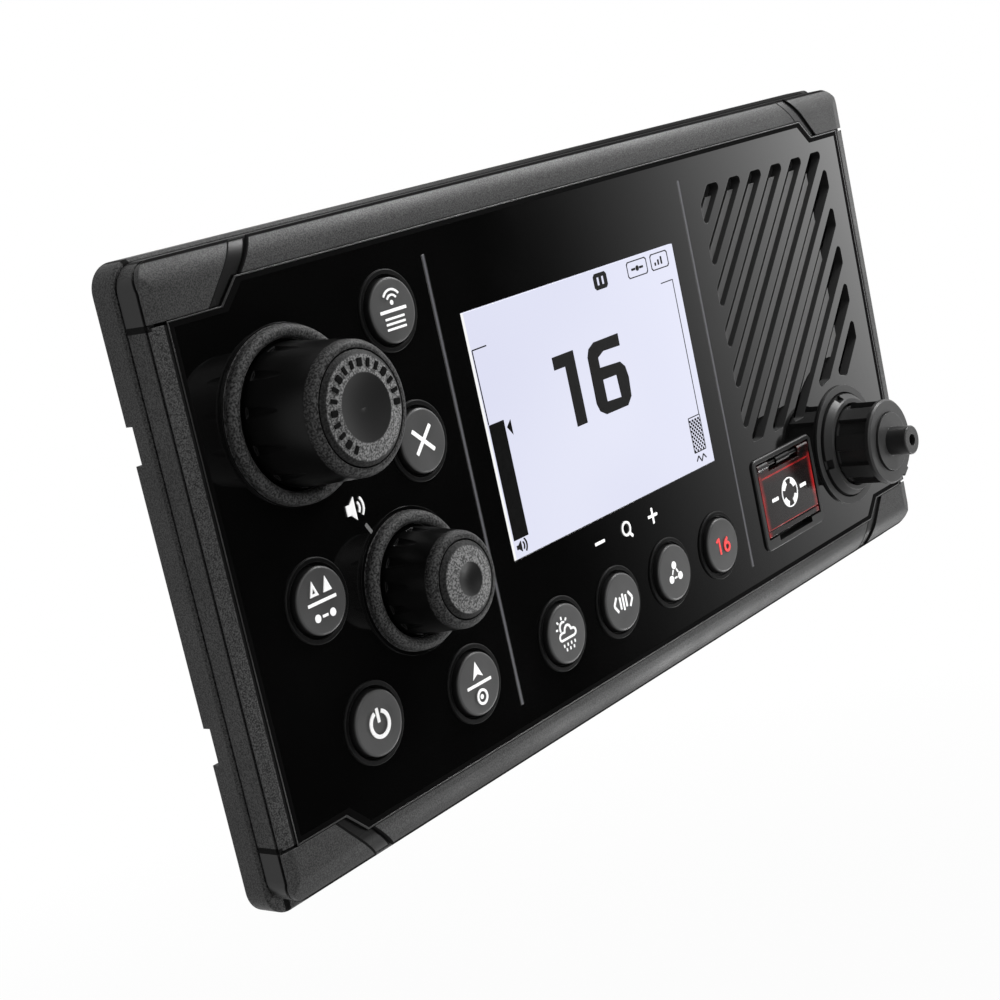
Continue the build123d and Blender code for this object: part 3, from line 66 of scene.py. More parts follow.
KEYS = {
    "call_key": (-50.85, 30.6),
    "cancel_key": (-50.6, 10.0),
    "traffic_key": (-79.3, -6.4),
    "power_key": (-73.8, -27.4),
    "waypoint_key": (-50.6, -29.85),
    "weather_key": (-26.7, -29.85),
    "scan_key": (-10.1, -29.85),
    "watch_key": (6.5, -29.85),
    "channel_16_key": (23.05, -29.85),
}
CHANNEL_KNOB = (-75.5, 20.5)
VOLUME_KNOB = (-58.7, -10.0)
MIC = (75.3, -24.33)
DISTRESS = (50.05, -27.3)
CASE_SCREWS = ((-76.0, 33.0), (76.0, 33.0), (-62.5, -34.0), (64.6, -34.0))
CHASSIS_SCREWS = ((-58.0, 22.0), (58.0, 22.0), (-58.0, -22.0), (58.0, -22.0))


# ------------------------------------------------------------------ material building
def tone(level, tint=(1.0, 1.0, 1.0)):
    """Linear colour of a tone from 0 to 255, with a slight tint."""
    value = level / 255
    linear = value / 12.92 if value <= 0.04045 else ((value + 0.055) / 1.055) ** 2.4
    return (*(linear * share for share in tint), 1.0)


def node(material, kind, sockets=(), **settings):
    """Add a shader node, set its options, and link or fill its sockets."""
    made = material.node_tree.nodes.new("ShaderNode" + kind)
    for option, value in settings.items():
        setattr(made, option, value)
    for socket, value in dict(sockets).items():
        if isinstance(value, bpy.types.NodeSocket):
            material.node_tree.links.new(value, made.inputs[socket])
        else:
            made.inputs[socket].default_value = value
    return made


def bare_material(name):
    """New material with an empty node tree."""
    material = bpy.data.materials.new(name)
    material.use_nodes = True
    material.node_tree.nodes.clear()
    return material


def own_coordinates(material, centre=(0.0, 0.0)):
    """Object coordinates, centred on a place on the front."""
    coordinates = node(material, "TexCoord").outputs["Object"]
    offset = (-centre[0] * MM, 0.0, -centre[1] * MM)
    return node(material, "Mapping", {"Vector": coordinates, "Location": offset}).outputs[0]


def noise(material, vector, size, detail=2.0):
    """Noise whose features are about size millimetres across."""
    inputs = {"Vector": vector, "Scale": 1 / (size * MM), "Detail": detail}
    return node(material, "TexNoise", inputs).outputs["Fac"]


def ramp(material, value, low, high, start=0.0, end=1.0):
    """Value rescaled from low..high to start..end, and held there outside."""
    inputs = {"Value": value, "From Min": low, "From Max": high, "To Min": start, "To Max": end}
    return node(material, "MapRange", inputs).outputs["Result"]


def blend(material, share, first, second):
    """Colour between two colours."""
    made = node(material, "Mix", data_type="RGBA")
    for socket, value in ((0, share), (6, first), (7, second)):
        if isinstance(value, bpy.types.NodeSocket):
            material.node_tree.links.new(value, made.inputs[socket])
        else:
            made.inputs[socket].default_value = value
    return made.outputs[2]


def math_node(material, operation, first, second=0.0):
    """Result of a sum on one or two values."""
    return node(material, "Math", {0: first, 1: second}, operation=operation).outputs[0]


def product(material, first, second):
    return math_node(material, "MULTIPLY", first, second)


def larger(material, first, second):
    return math_node(material, "MAXIMUM", first, second)


def axes(material, vector):
    """X, Y and Z of a vector, by name."""
    return node(material, "SeparateXYZ", {0: vector}).outputs


def rounded_normal(material, radius):
    """Normal that rolls over hard edges by a radius in millimetres."""
    return node(material, "Bevel", {"Radius": radius * MM}, samples=4).outputs["Normal"]


def painted_edge_highlight(material, normal):
    """Mask that is 1 on the outermost line of each edge, where a highlight is painted."""
    true_normal = node(material, "NewGeometry").outputs["Normal"]
    turned = node(
        material, "VectorMath", {0: normal, 1: true_normal}, operation="DOT_PRODUCT"
    ).outputs["Value"]
    return ramp(material, turned, 0.97, 0.8)


def front_facing(material):
    """Mask that is 1 on faces square to the user and 0 on the walls between them."""
    true_normal = node(material, "NewGeometry").outputs["Normal"]
    depthwise = axes(material, true_normal)["Y"]
    return ramp(material, depthwise, -0.55, -0.8)


def grained(material, normal, height, strength, depth):
    """Normal with a height pattern pressed into it, depth in millimetres."""
    inputs = {"Strength": strength, "Distance": depth * MM, "Height": height, "Normal": normal}
    return node(material, "Bump", inputs).outputs["Normal"]


def shaded(material, colour, roughness, normal, **plain):
    """Principled shader wired to the output; plain holds sockets with one value all over."""
    inputs = {"Base Color": colour, "Roughness": roughness, "Normal": normal}
    inputs.update({name.replace("_", " "): value for name, value in plain.items()})
    shader = node(material, "BsdfPrincipled", inputs)
    node(material, "OutputMaterial", {"Surface": shader.outputs[0]})
    return shader


# ------------------------------------------------------------------ finishes
def spark_plastic(name, level):
    """Moulded plastic with a fine spark-eroded grain and a painted highlight along its edges."""
    material = bare_material(name)
    place = own_coordinates(material)
    sand = noise(material, place, 0.3, 1.0)
    clouds = noise(material, place, 14.0, 2.0)
    edge_normal = rounded_normal(material, 0.14)
    speckle = ramp(material, sand, 0.38, 0.64)
    colour = blend(material, speckle, tone(level * 0.4), tone(level * 1.6))
    colour = blend(material, ramp(material, clouds, 0.3, 0.7, 0.0, 0.3), colour, tone(level))
    # painted highlight along the edges
    colour = blend(material, painted_edge_highlight(material, edge_normal), colour, tone(level * 11.0))
    rough = ramp(material, clouds, 0.3, 0.7, 0.44, 0.56)
    normal = grained(material, edge_normal, sand, 0.6, 0.02)
    shaded(material, colour, rough, normal, Specular_IOR_Level=0.06)
    return material


def satin_plastic(name, level, roughness=0.36, specular=0.25, walls=1.0):
    """Smooth satin plastic with a faint mould texture and a painted highlight on its edges; walls
    is how bright the sides are painted, as painted shade.
    """
    material = bare_material(name)
    place = own_coordinates(material)
    fine = noise(material, place, 0.12, 2.0)
    clouds = noise(material, place, 6.0, 3.0)
    edge_normal = rounded_normal(material, 0.15)
    cloudy = ramp(material, clouds, 0.3, 0.7)
    colour = blend(material, cloudy, tone(level * 0.94), tone(level * 1.06))
    # painted highlight along the edges
    colour = blend(material, painted_edge_highlight(material, edge_normal), colour, tone(level * 1.35))
    # painted shade: the side walls darkened, as if in shadow
    if walls < 1.0:
        colour = blend(material, front_facing(material), tone(level * walls), colour)
    rough = ramp(material, clouds, 0.3, 0.7, roughness - 0.04, roughness + 0.05)
    normal = grained(material, edge_normal, fine, 0.2, 0.01)
    shaded(material, colour, rough, normal, Specular_IOR_Level=specular)
    return material


def glossy_panel():
    """Back-painted black acrylic of the front panel, with the faintest wipe marks; its sunk ledges
    are painted grey as light, lighter towards the right.
    """
    material = bare_material("fascia_gloss")
    place = own_coordinates(material)
    wipes = noise(material, place, 22.0, 5.0)
    ripple = noise(material, place, 60.0, 1.0)
    edge_normal = rounded_normal(material, 0.12)
    split = axes(material, place)
    sunk = ramp(material, split["Y"], (FACE + 0.8) * MM, (FACE + 1.0) * MM)
    ledge = product(material, sunk, front_facing(material))
    # painted light on the sunk ledges: grey, lighter towards the right
    across = ramp(material, split["X"], 38.0 * MM, 84.0 * MM)
    ledge_painted_light = blend(material, across, tone(60), tone(92))
    colour = blend(material, ledge, blend(material, wipes, tone(4), tone(9)), ledge_painted_light)
    polish = ramp(material, wipes, 0.35, 0.7, 0.03, 0.1)
    sawn = ramp(material, front_facing(material), 0.5, 1.0, 1.0, 0.0)
    rough = larger(material, polish, sawn)
    rough = larger(material, rough, product(material, ledge, 0.7))
    shaded(material, colour, rough, grained(material, edge_normal, ripple, 0.1, 0.05))
    return material


def corner_distance(material, place):
    """Distance past the slanted seam between a rail and a corner cap, alike in all corners."""
    split = axes(material, place)
    sideways = math_node(material, "ABSOLUTE", split["X"])
    upwards = math_node(material, "ABSOLUTE", split["Z"])
    lean = product(material, upwards, SEAM_LEAN)
    return math_node(material, "SUBTRACT", math_node(material, "ADD", sideways, lean), SEAM * MM)


def line_mask(material, value, low, high):
    """Mask that is 1 between two values in millimetres, with crisp sides."""
    rise = ramp(material, value, (low - 0.05) * MM, (low + 0.05) * MM)
    fall = ramp(material, value, (high + 0.05) * MM, (high - 0.05) * MM)
    return product(material, rise, fall)


def trim_plastic(name, level):
    """Rails and corner caps: fine grain, painted shade along the outer edge, dark seams, smooth
    stripe along the seam and a painted highlight on the edges.
    """
    material = bare_material(name)
    place = own_coordinates(material)
    sand = noise(material, place, 0.22, 1.0)
    clouds = noise(material, place, 14.0, 2.0)
    past_seam = corner_distance(material, place)
    stripe = line_mask(material, past_seam, -STRIPE - 0.1, 0.0)
    upwards = axes(material, place)["Z"]
    upwards = math_node(material, "ABSOLUTE", upwards)
    # painted shade on the outer top and bottom faces, joined below with the dark seam lines
    lines = ramp(material, upwards, (OUTER_EDGE - 0.1) * MM, (OUTER_EDGE + 0.1) * MM)
    for low, high in ((-0.45, 0.3), (-STRIPE - 0.6, 0.3 - STRIPE)):
        lines = larger(material, lines, line_mask(material, past_seam, low, high))
    edge_normal = rounded_normal(material, 0.3)
    speckle = ramp(material, sand, 0.38, 0.64)
    colour = blend(material, speckle, tone(level * 0.72), tone(level * 1.28))
    # painted highlight along the edges
    colour = blend(material, painted_edge_highlight(material, edge_normal), colour, tone(level * 1.6))
    colour = blend(material, stripe, colour, tone(level * 0.6))
    colour = blend(material, lines, colour, tone(2))
    rough = ramp(material, clouds, 0.3, 0.7, 0.4, 0.5)
    rough = math_node(material, "SUBTRACT", rough, product(material, stripe, 0.2))
    rough = larger(material, rough, lines)
    smooth = math_node(material, "SUBTRACT", 1.0, stripe)
    relief = product(material, sand, smooth)
    normal = grained(material, edge_normal, relief, 0.5, 0.03)
    shaded(material, colour, rough, normal, Specular_IOR_Level=0.14)
    return material


def frame_plastic(name, level, beside_caps):
    """Frame moulding: sparked all round, with painted shade along its long edges beside the rails,
    deeper to the right, dark joints and a painted highlight on its edges.

    beside_caps is how smooth its sides are next to the corner caps.
    """
    material = bare_material(name)
    place = own_coordinates(material)
    sand = noise(material, place, 0.22, 1.0)
    clouds = noise(material, place, 14.0, 2.0)
    split = axes(material, place)
    sideways = math_node(material, "ABSOLUTE", split["X"])
    upwards = math_node(material, "ABSOLUTE", split["Z"])
    inner, outer = (FRAME_SIDE - 0.1) * MM, (FRAME_SIDE + 0.1) * MM
    on_side = ramp(material, sideways, inner, outer, 0.0, beside_caps)
    corner = ramp(material, upwards, (CAP_EDGE - 0.05) * MM, (CAP_EDGE + 0.05) * MM)
    smooth = product(material, on_side, corner)
    parting = line_mask(material, upwards, CAP_EDGE - 0.95, CAP_EDGE)
    parting = product(material, parting, on_side)
    # painted shade on the strip beside the rails, stronger towards the right
    behind_rail = ramp(material, upwards, (RAIL_EDGE - 0.2) * MM, (RAIL_EDGE + 0.2) * MM)
    shade_beside_rail = product(material, behind_rail, ramp(material, sideways, 96.0 * MM, 92.0 * MM))
    shade_to_the_right = ramp(material, split["X"], -90.0 * MM, 20.0 * MM, 0.3, 1.0)
    shade_beside_rail = product(material, shade_beside_rail, shade_to_the_right)
    beside_panel = line_mask(material, sideways, PANEL_EDGE, PANEL_EDGE + 1.1)
    joints_and_shade = larger(material, parting, shade_beside_rail)
    joints_and_shade = larger(material, joints_and_shade, beside_panel)
    edge_normal = rounded_normal(material, 0.2)
    speckle = ramp(material, sand, 0.36, 0.64)
    colour = blend(material, speckle, tone(level * 0.2), tone(level * 1.75))
    colour = blend(material, ramp(material, clouds, 0.3, 0.7, 0.0, 0.2), colour, tone(level))
    # painted highlight along the edges
    colour = blend(material, painted_edge_highlight(material, edge_normal), colour, tone(level * 1.7))
    colour = blend(material, smooth, colour, tone(level * 0.9))
    colour = blend(material, joints_and_shade, colour, tone(2))
    rough = ramp(material, clouds, 0.3, 0.7, 0.44, 0.56)
    rough = math_node(material, "SUBTRACT", rough, product(material, smooth, 0.2))
    rough = larger(material, rough, joints_and_shade)
    grainy = math_node(material, "SUBTRACT", 1.0, smooth)
    relief = product(material, sand, grainy)
    normal = grained(material, edge_normal, relief, 0.6, 0.08)
    shaded(material, colour, rough, normal, Specular_IOR_Level=0.2)
    return material


def off_centre(material, place):
    """Distance from the axis through a place on the front."""
    flat = node(
        material, "VectorMath", {0: place, 1: (1.0, 0.0, 1.0)}, operation="MULTIPLY"
    ).outputs["Vector"]
    return node(material, "VectorMath", {0: flat}, operation="LENGTH").outputs["Value"]


def socket_plastic(name, level):
    """Connector shell: satin front faces, painted shade on its sides and in a gutter inside its
    rim, and a painted highlight on its edges.
    """
    material = bare_material(name)
    place = own_coordinates(material, MIC)
    fine = noise(material, place, 0.12, 2.0)
    clouds = noise(material, place, 6.0, 3.0)
    # painted shade: a black ring where a shaded gap lies inside the rim
    gutter_shade = line_mask(material, off_centre(material, place), 10.4, 10.85)
    edge_normal = rounded_normal(material, 0.15)
    colour = blend(material, clouds, tone(level * 0.92), tone(level * 1.06))
    # painted highlight along the edges; below it painted shade on the side walls
    colour = blend(material, painted_edge_highlight(material, edge_normal), colour, tone(level * 1.2))
    colour = blend(material, front_facing(material), tone(level * 0.5), colour)
    colour = blend(material, gutter_shade, colour, tone(3))
    rough = larger(material, ramp(material, clouds, 0.3, 0.7, 0.36, 0.44), gutter_shade)
    normal = grained(material, edge_normal, fine, 0.2, 0.01)
    shaded(material, colour, rough, normal, Specular_IOR_Level=0.2)
    return material


def strip_paint(name, level):
    """Divider strip: a painted line that leaves its edges black."""
    material = bare_material(name)
    place = own_coordinates(material)
    film = noise(material, place, 0.5, 2.0)
    x = axes(material, place)["X"]
    lines = [line_mask(material, x, centre - 0.24, centre + 0.24) for centre in DIVIDERS]
    line = larger(material, *lines)
    paint = blend(material, film, tone(level * 0.95, (1, 1, 1.1)), tone(level, (1, 1, 1.12)))
    colour = blend(material, line, tone(6), paint)
    rough = ramp(material, film, 0.3, 0.7, 0.35, 0.45)
    shaded(material, colour, rough, rounded_normal(material, 0.05), Specular_IOR_Level=0.2)
    return material


def lit_screen():
    """Lit dot-matrix screen behind its window: a lavender field with a faint dot grid."""
    material = bare_material("screen_lit")
    place = own_coordinates(material, SCREEN)
    across = node(
        material, "TexWave", {"Vector": place, "Scale": 640.0}, bands_direction="X"
    ).outputs["Fac"]
    down = node(
        material, "TexWave", {"Vector": place, "Scale": 640.0}, bands_direction="Z"
    ).outputs["Fac"]
    dots = product(material, across, down)
    spread = noise(material, place, 45.0, 1.0)
    field = blend(
        material,
        ramp(material, spread, 0.3, 0.7),
        tone(226, (1.0, 1.02, 1.24)),
        tone(234, (1.0, 1.02, 1.2)),
    )
    grid = ramp(material, dots, 0.0, 1.0, 0.0, 0.12)
    glow = blend(material, grid, field, tone(240, (1.0, 1.0, 1.12)))
    x = axes(material, place)["X"]
    glow = blend(material, ramp(material, x, -30.3 * MM, -30.5 * MM), glow, tone(255))
    shader = shaded(material, tone(12), 0.12, rounded_normal(material, 0.1))
    material.node_tree.links.new(glow, shader.inputs["Emission Color"])
    shader.inputs["Emission Strength"].default_value = 0.95
    return material


def knob_grip(name, centre, height):
    """Knob moulding: smooth dark skirt, grained lighter crown with a painted highlight on its
    edges.
    """
    material = bare_material(name)
    place = own_coordinates(material, centre)
    sand = noise(material, place, 0.3, 1.0)
    along = axes(material, place)["Y"]
    crown_level = (FACE - height + 2.5) * MM
    crown = ramp(material, along, crown_level + 0.15 * MM, crown_level - 0.15 * MM)
    edge_normal = rounded_normal(material, 0.2)
    grain_colour = blend(material, ramp(material, sand, 0.38, 0.64), tone(5), tone(60))
    skirt_colour = blend(material, sand, tone(4), tone(8))
    colour = blend(material, crown, skirt_colour, grain_colour)
    # painted highlight along the crown's edges
    crown_highlight = product(material, painted_edge_highlight(material, edge_normal), crown)
    colour = blend(material, crown_highlight, colour, tone(66))
    rough = ramp(material, crown, 0.0, 1.0, 0.3, 0.55)
    pattern = product(material, sand, crown)
    normal = grained(material, edge_normal, pattern, 0.6, 0.08)
    shaded(material, colour, rough, normal, Specular_IOR_Level=0.14)
    return material


def knob_insert(name, centre, dish, rim):
    """Knob cap: grained ring round a smooth dished middle, and a darker slope outside it."""
    material = bare_material(name)
    place = own_coordinates(material, centre)
    sand = noise(material, place, 0.3, 1.0)
    radius = off_centre(material, place)
    ring = ramp(material, radius, (dish - 0.1) * MM, (dish + 0.1) * MM)
    slope = ramp(material, radius, (rim - 0.1) * MM, (rim + 0.1) * MM)
    speckle = ramp(material, sand, 0.38, 0.64)
    grain_colour = blend(material, speckle, tone(56), tone(122))
    colour = blend(material, ring, tone(22), grain_colour)
    colour = blend(material, slope, colour, blend(material, speckle, tone(4), tone(34)))
    rough = ramp(material, ring, 0.0, 1.0, 0.45, 0.6)
    pattern = product(material, sand, ring)
    normal = node(material, "NewGeometry").outputs["Normal"]
    normal = grained(material, normal, pattern, 0.6, 0.09)
    shaded(material, colour, rough, normal, Specular_IOR_Level=0.12)
    return material


def collar_finish(name, centre, ring_radius):
    """Knob surround: sand-grained ring on a glossy black plate."""
    material = bare_material(name)
    place = own_coordinates(material, centre)
    sand = noise(material, place, 0.3, 1.0)
    offset = math_node(material, "SUBTRACT", off_centre(material, place), ring_radius * MM)
    distance = math_node(material, "ABSOLUTE", offset)
    ring = ramp(material, distance, 1.1 * MM, 1.0 * MM)
    edge_normal = rounded_normal(material, 0.1)
    grain_colour = blend(material, ramp(material, sand, 0.36, 0.66), tone(12), tone(72))
    colour = blend(material, ring, tone(5), grain_colour)
    rough = ramp(material, ring, 0.0, 1.0, 0.12, 0.6)
    pattern = product(material, sand, ring)
    normal = grained(material, edge_normal, pattern, 0.7, 0.12)
    shaded(material, colour, rough, normal, Specular_IOR_Level=0.16)
    return material


def smoked_flap():
    """Smoky translucent cover whose cut edges glow red."""
    material = bare_material("flap_smoke")
    place = own_coordinates(material, DISTRESS)
    split = axes(material, place)
    sideways = math_node(material, "ABSOLUTE", split["X"])
    upwards = split["Z"]
    edge = ramp(material, sideways, 8.4 * MM, 9.7 * MM)
    below_hinge = ramp(material, upwards, 5.9 * MM, 5.2 * MM, 0.1, 1.0)
    edge = product(material, edge, below_hinge)
    inside = ramp(material, sideways, 9.3 * MM, 8.6 * MM)
    upper = product(material, line_mask(material, upwards, 4.75, 5.1), inside)
    lower = product(material, line_mask(material, upwards, -5.4, -5.15), inside)
    streak = noise(material, place, 4.0, 4.0)
    border = larger(material, edge, larger(material, upper, lower))
    red = product(material, border, ramp(material, streak, 0.35, 0.65, 0.25, 1.0))
    haze = ramp(material, upwards, 3.0 * MM, 5.0 * MM, 0.0, 0.12)
    haze = product(material, haze, ramp(material, streak, 0.4, 0.7))
    red = larger(material, red, haze)
    smoke = blend(material, below_hinge, tone(12), tone(22, (1.2, 0.9, 0.9)))
    colour = blend(material, red, smoke, tone(170, (1.0, 0.04, 0.04)))
    rough = ramp(material, streak, 0.3, 0.7, 0.08, 0.16)
    shader = shaded(material, colour, rough, rounded_normal(material, 0.15))
    shader.inputs["Alpha"].default_value = 0.9
    return material


def red_button():
    """Glossy red push button."""
    material = bare_material("button_red")
    place = own_coordinates(material, DISTRESS)
    flow = noise(material, place, 5.0, 2.0)
    colour = blend(material, flow, tone(150, (1.0, 0.05, 0.04)), tone(190, (1.0, 0.06, 0.05)))
    rough = ramp(material, flow, 0.3, 0.7, 0.25, 0.35)
    shaded(material, colour, rough, rounded_normal(material, 0.3))
    return material


def metal(name, level, roughness, grain, depth):
    """Metal with a fine surface grain, a slightly uneven sheen and a painted highlight on its
    edges.
    """
    material = bare_material(name)
    place = own_coordinates(material)
    fine = noise(material, place, grain, 3.0)
    clouds = noise(material, place, 12.0, 3.0)
    edge_normal = rounded_normal(material, 0.15)
    colour = blend(material, ramp(material, clouds, 0.3, 0.7), tone(level * 0.9), tone(level))
    # painted highlight along the edges
    colour = blend(material, painted_edge_highlight(material, edge_normal), colour, tone(level * 1.15))
    rough = ramp(material, fine, 0.3, 0.7, roughness - 0.07, roughness + 0.07)
    normal = grained(material, edge_normal, fine, 0.5, depth)
    shaded(material, colour, rough, normal, Metallic=1.0)
    return material


def soft_sheet(name, level, grain):
    """Foam, rubber, paper or cloth: matt, with an open texture."""
    material = bare_material(name)
    place = own_coordinates(material)
    cells = node(
        material, "TexVoronoi", {"Vector": place, "Scale": 1 / (grain * MM)}
    ).outputs["Distance"]
    clouds = noise(material, place, 8.0, 2.0)
    colour = blend(material, cells, tone(level * 0.6), tone(level * 1.2))
    colour = blend(material, ramp(material, clouds, 0.3, 0.7, 0.0, 0.4), colour, tone(level))
    rough = ramp(material, clouds, 0.3, 0.7, 0.7, 0.8)
    normal = grained(material, rounded_normal(material, 0.1), cells, 0.6, 0.08)
    shaded(material, colour, rough, normal)
    return material


def circuit_board():
    """Green laminate with copper traces under the lacquer."""
    material = bare_material("board_laminate")
    place = own_coordinates(material)
    tracks = node(
        material, "TexBrick", {"Vector": place, "Scale": 420.0, "Mortar Size": 0.03}
    ).outputs["Fac"]
    weave = noise(material, place, 0.6, 2.0)
    lacquer = blend(material, weave, (0.004, 0.05, 0.018, 1), (0.008, 0.09, 0.03, 1))
    copper = ramp(material, tracks, 0.4, 0.6, 0.0, 0.7)
    colour = blend(material, copper, lacquer, (0.02, 0.16, 0.05, 1))
    rough = ramp(material, weave, 0.3, 0.7, 0.25, 0.4)
    normal = grained(material, rounded_normal(material, 0.1), tracks, 0.2, 0.03)
    shaded(material, colour, rough, normal)
    return material


def print_ink(name, colour, glow=0.0, specular=0.5):
    """Printed mark: opaque ink with a slightly uneven film; glow is painted light that makes the
    ink shine.
    """
    material = bare_material(name)
    place = own_coordinates(material)
    film = noise(material, place, 0.5, 2.0)
    darker = (*(part * 0.9 for part in colour[:3]), 1.0)
    mixed = blend(material, film, darker, colour)
    rough = ramp(material, film, 0.3, 0.7, 0.35, 0.5)
    shader = shaded(
        material, mixed, rough, rounded_normal(material, 0.03), Specular_IOR_Level=specular
    )
    # painted light: the ink glows though it is no lamp
    if glow:
        material.node_tree.links.new(mixed, shader.inputs["Emission Color"])
        shader.inputs["Emission Strength"].default_value = glow
    return material


# ------------------------------------------------------------------ finishes on the CAD nodes
bezel_finish = frame_plastic("bezel_plastic", 40, 1.0)
cap_finish = trim_plastic("cap_plastic", 48)
trim_finish = trim_plastic("trim_plastic", 50)
# walls below 1 paint shade on the sides of keys, connectors and the distress surround
key_finish = satin_plastic("key_plastic", 63, roughness=0.42, walls=0.35)
ring_finish = spark_plastic("ring_plastic", 6)
connector_finish = satin_plastic("connector_plastic", 52, roughness=0.36, specular=0.2, walls=0.6)
socket_finish = socket_plastic("connector_shell", 50)
# black matt ring laid over the gap round the panel as painted shade
gap_shade_finish = satin_plastic("panel_gap_shade", 4, roughness=0.9, specular=0.03)
lip_finish = satin_plastic("panel_lip", 26, roughness=0.3, specular=0.5)
blued_finish = metal("blued_steel", 34, 0.4, 0.2, 0.01)
gasket_finish = soft_sheet("gasket_foam", 24, 0.4)
steel_finish = metal("steel", 150, 0.35, 0.2, 0.01)
module_finish = satin_plastic("module_black", 26, roughness=0.4)
laminate = circuit_board()
cast_finish = metal("cast_metal", 92, 0.5, 0.35, 0.05)

coats = {
    "fascia_panel": glossy_panel(),
    "divider_strips": strip_paint("divider_grey", 80),
    "bezel_frame": bezel_finish,
    "rail_top": trim_finish,
    "rail_bottom": trim_finish,
    "corner_cap_top_left": cap_finish,
    "corner_cap_top_right": cap_finish,
    "corner_cap_bottom_left": cap_finish,
    "corner_cap_bottom_right": cap_finish,
    "rear_housing": frame_plastic("housing_plastic", 40, 0.0),
    "dash_gasket": gasket_finish,
    "body_gasket": gasket_finish,
    "chassis_heatsink": cast_finish,
    "heatsink_fins": cast_finish,
    "case_screws": steel_finish,
    "chassis_screws": steel_finish,
    "display_window": lit_screen(),
    "display_module": module_finish,
    "backlight": satin_plastic("light_guide", 215),
    "key_rings": ring_finish,
    "keypad_membrane": satin_plastic("silicone", 58, roughness=0.6),
    "front_board": laminate,
    "main_board": laminate,
    "rf_shield": metal("shield_tin", 185, 0.28, 0.5, 0.01),
    "power_amplifier": module_finish,
    "speaker_mesh": soft_sheet("mesh_fabric", 18, 0.5),
    "speaker_frame": steel_finish,
    "speaker_cone": soft_sheet("cone_paper", 30, 0.8),
    "speaker_magnet": metal("magnet_steel", 105, 0.45, 0.3, 0.02),
    "distress_frame": satin_plastic("distress_surround", 34, roughness=0.34, walls=0.3),
    "distress_flap": smoked_flap(),
    "distress_hinge_pin": blued_finish,
    "distress_spring": blued_finish,
    "distress_button": red_button(),
    "mic_socket": socket_finish,
    "mic_plug": connector_finish,
    "mic_nut": connector_finish,
    "antenna_socket": metal("nickel", 190, 0.22, 0.2, 0.005),
    "network_socket": connector_finish,
    "power_gland": connector_finish,
}
for key_name in KEYS:
    coats[key_name] = key_finish
for title, centre, height, dish, rim, ring_radius in (
    ("channel", CHANNEL_KNOB, 15.1, 4.97, 7.47, 12.1),
    ("volume", VOLUME_KNOB, 11.8, 2.63, 5.1, 9.8),
):
    coats[f"{title}_knob"] = knob_grip(f"{title}_knob_plastic", centre, height)
    coats[f"{title}_knob_cap"] = knob_insert(f"{title}_cap_plastic", centre, dish, rim)
    coats[f"{title}_collar"] = collar_finish(f"{title}_collar_plastic", centre, ring_radius)
    coats[f"{title}_shaft"] = steel_finish
    coats[f"{title}_plunger"] = module_finish
    coats[f"{title}_encoder"] = module_finish

for name, coat in coats.items():
    nodes[name].data.materials.clear()
    nodes[name].data.materials.append(coat)


# ------------------------------------------------------------------ strokes of the printed marks
def start_point(place):
    """One loose vertex at a place on the front, left selected in edit mode."""
    if bpy.context.mode == "OBJECT":
        bpy.ops.object.select_all(action="DESELECT")
    bpy.ops.mesh.primitive_plane_add(size=MM, location=(place[0] * MM, 0.0, place[1] * MM))
    if bpy.context.mode == "OBJECT":
        apply_place()
        bpy.ops.object.mode_set(mode="EDIT")
        bpy.ops.mesh.select_all(action="SELECT")
    bpy.ops.mesh.merge(type="CENTER")


def weld():
    """Select the whole stroke and merge the vertices that coincide."""
    bpy.ops.mesh.select_all(action="SELECT")
    bpy.ops.mesh.remove_doubles(threshold=0.0005 * MM)


def spin(centre, sweep, steps):
    """Sweep the whole stroke about a centre, in degrees."""
    bpy.ops.mesh.select_all(action="SELECT")
    bpy.ops.mesh.spin(
        steps=steps,
        angle=math.radians(sweep),
        center=(centre[0] * MM, 0.0, centre[1] * MM),
        axis=(0.0, 1.0, 0.0),
    )


def apply_place():
    bpy.ops.object.transform_apply(location=True, rotation=True, scale=True)


def draw(step):
    """Extrude what is selected by a step across the front."""
    bpy.ops.mesh.extrude_region_move(
        TRANSFORM_OT_translate={"value": (step[0] * MM, 0.0, step[1] * MM)}
    )


def end_stroke():
    """Weld the stroke, leave edit mode and turn every face to the user."""
    weld()
    bpy.ops.object.mode_set(mode="OBJECT")
    stroke = bpy.context.object
    for face in stroke.data.polygons:
        face.select = face.normal.y > 0
    bpy.ops.object.mode_set(mode="EDIT")
    bpy.ops.mesh.flip_normals()
    bpy.ops.object.mode_set(mode="OBJECT")
    return stroke


def bar(start, end, width):
    """Straight stroke with softened corners."""
    along = Vector(end) - Vector(start)
    across = Vector((-along.y, along.x)).normalized() * width
    start_point(Vector(start) - across / 2)
    draw(across)
    bpy.ops.mesh.select_all(action="SELECT")
    draw(along)
    bpy.ops.mesh.select_all(action="SELECT")
    bpy.ops.mesh.bevel(offset=width * 0.2 * MM, segments=3, affect="VERTICES")
    return end_stroke()


def arc(centre, radius, width, start, sweep, steps):
    """Curved stroke: a short edge spun about a centre, in degrees from the right."""
    reach = Vector((math.cos(math.radians(start)), math.sin(math.radians(start))))
    start_point(Vector(centre) + reach * (radius - width / 2))
    draw(reach * width)
    spin(centre, sweep, steps)
    return end_stroke()


def dot(centre, radius):
    """Filled round spot."""
    start_point(Vector(centre) + Vector((radius, 0.0)))
    spin(centre, 360, 24)
    weld()
    bpy.ops.mesh.edge_face_add()
    return end_stroke()


def plate(*outlines):
    """Filled shape inside a closed outline, with any further outlines cut out of it."""
    for points in outlines:
        start_point(points[0])
        for near, far in zip(points, (*points[1:], points[0])):
            draw(Vector(far) - Vector(near))
    weld()
    bpy.ops.mesh.fill()
    return end_stroke()


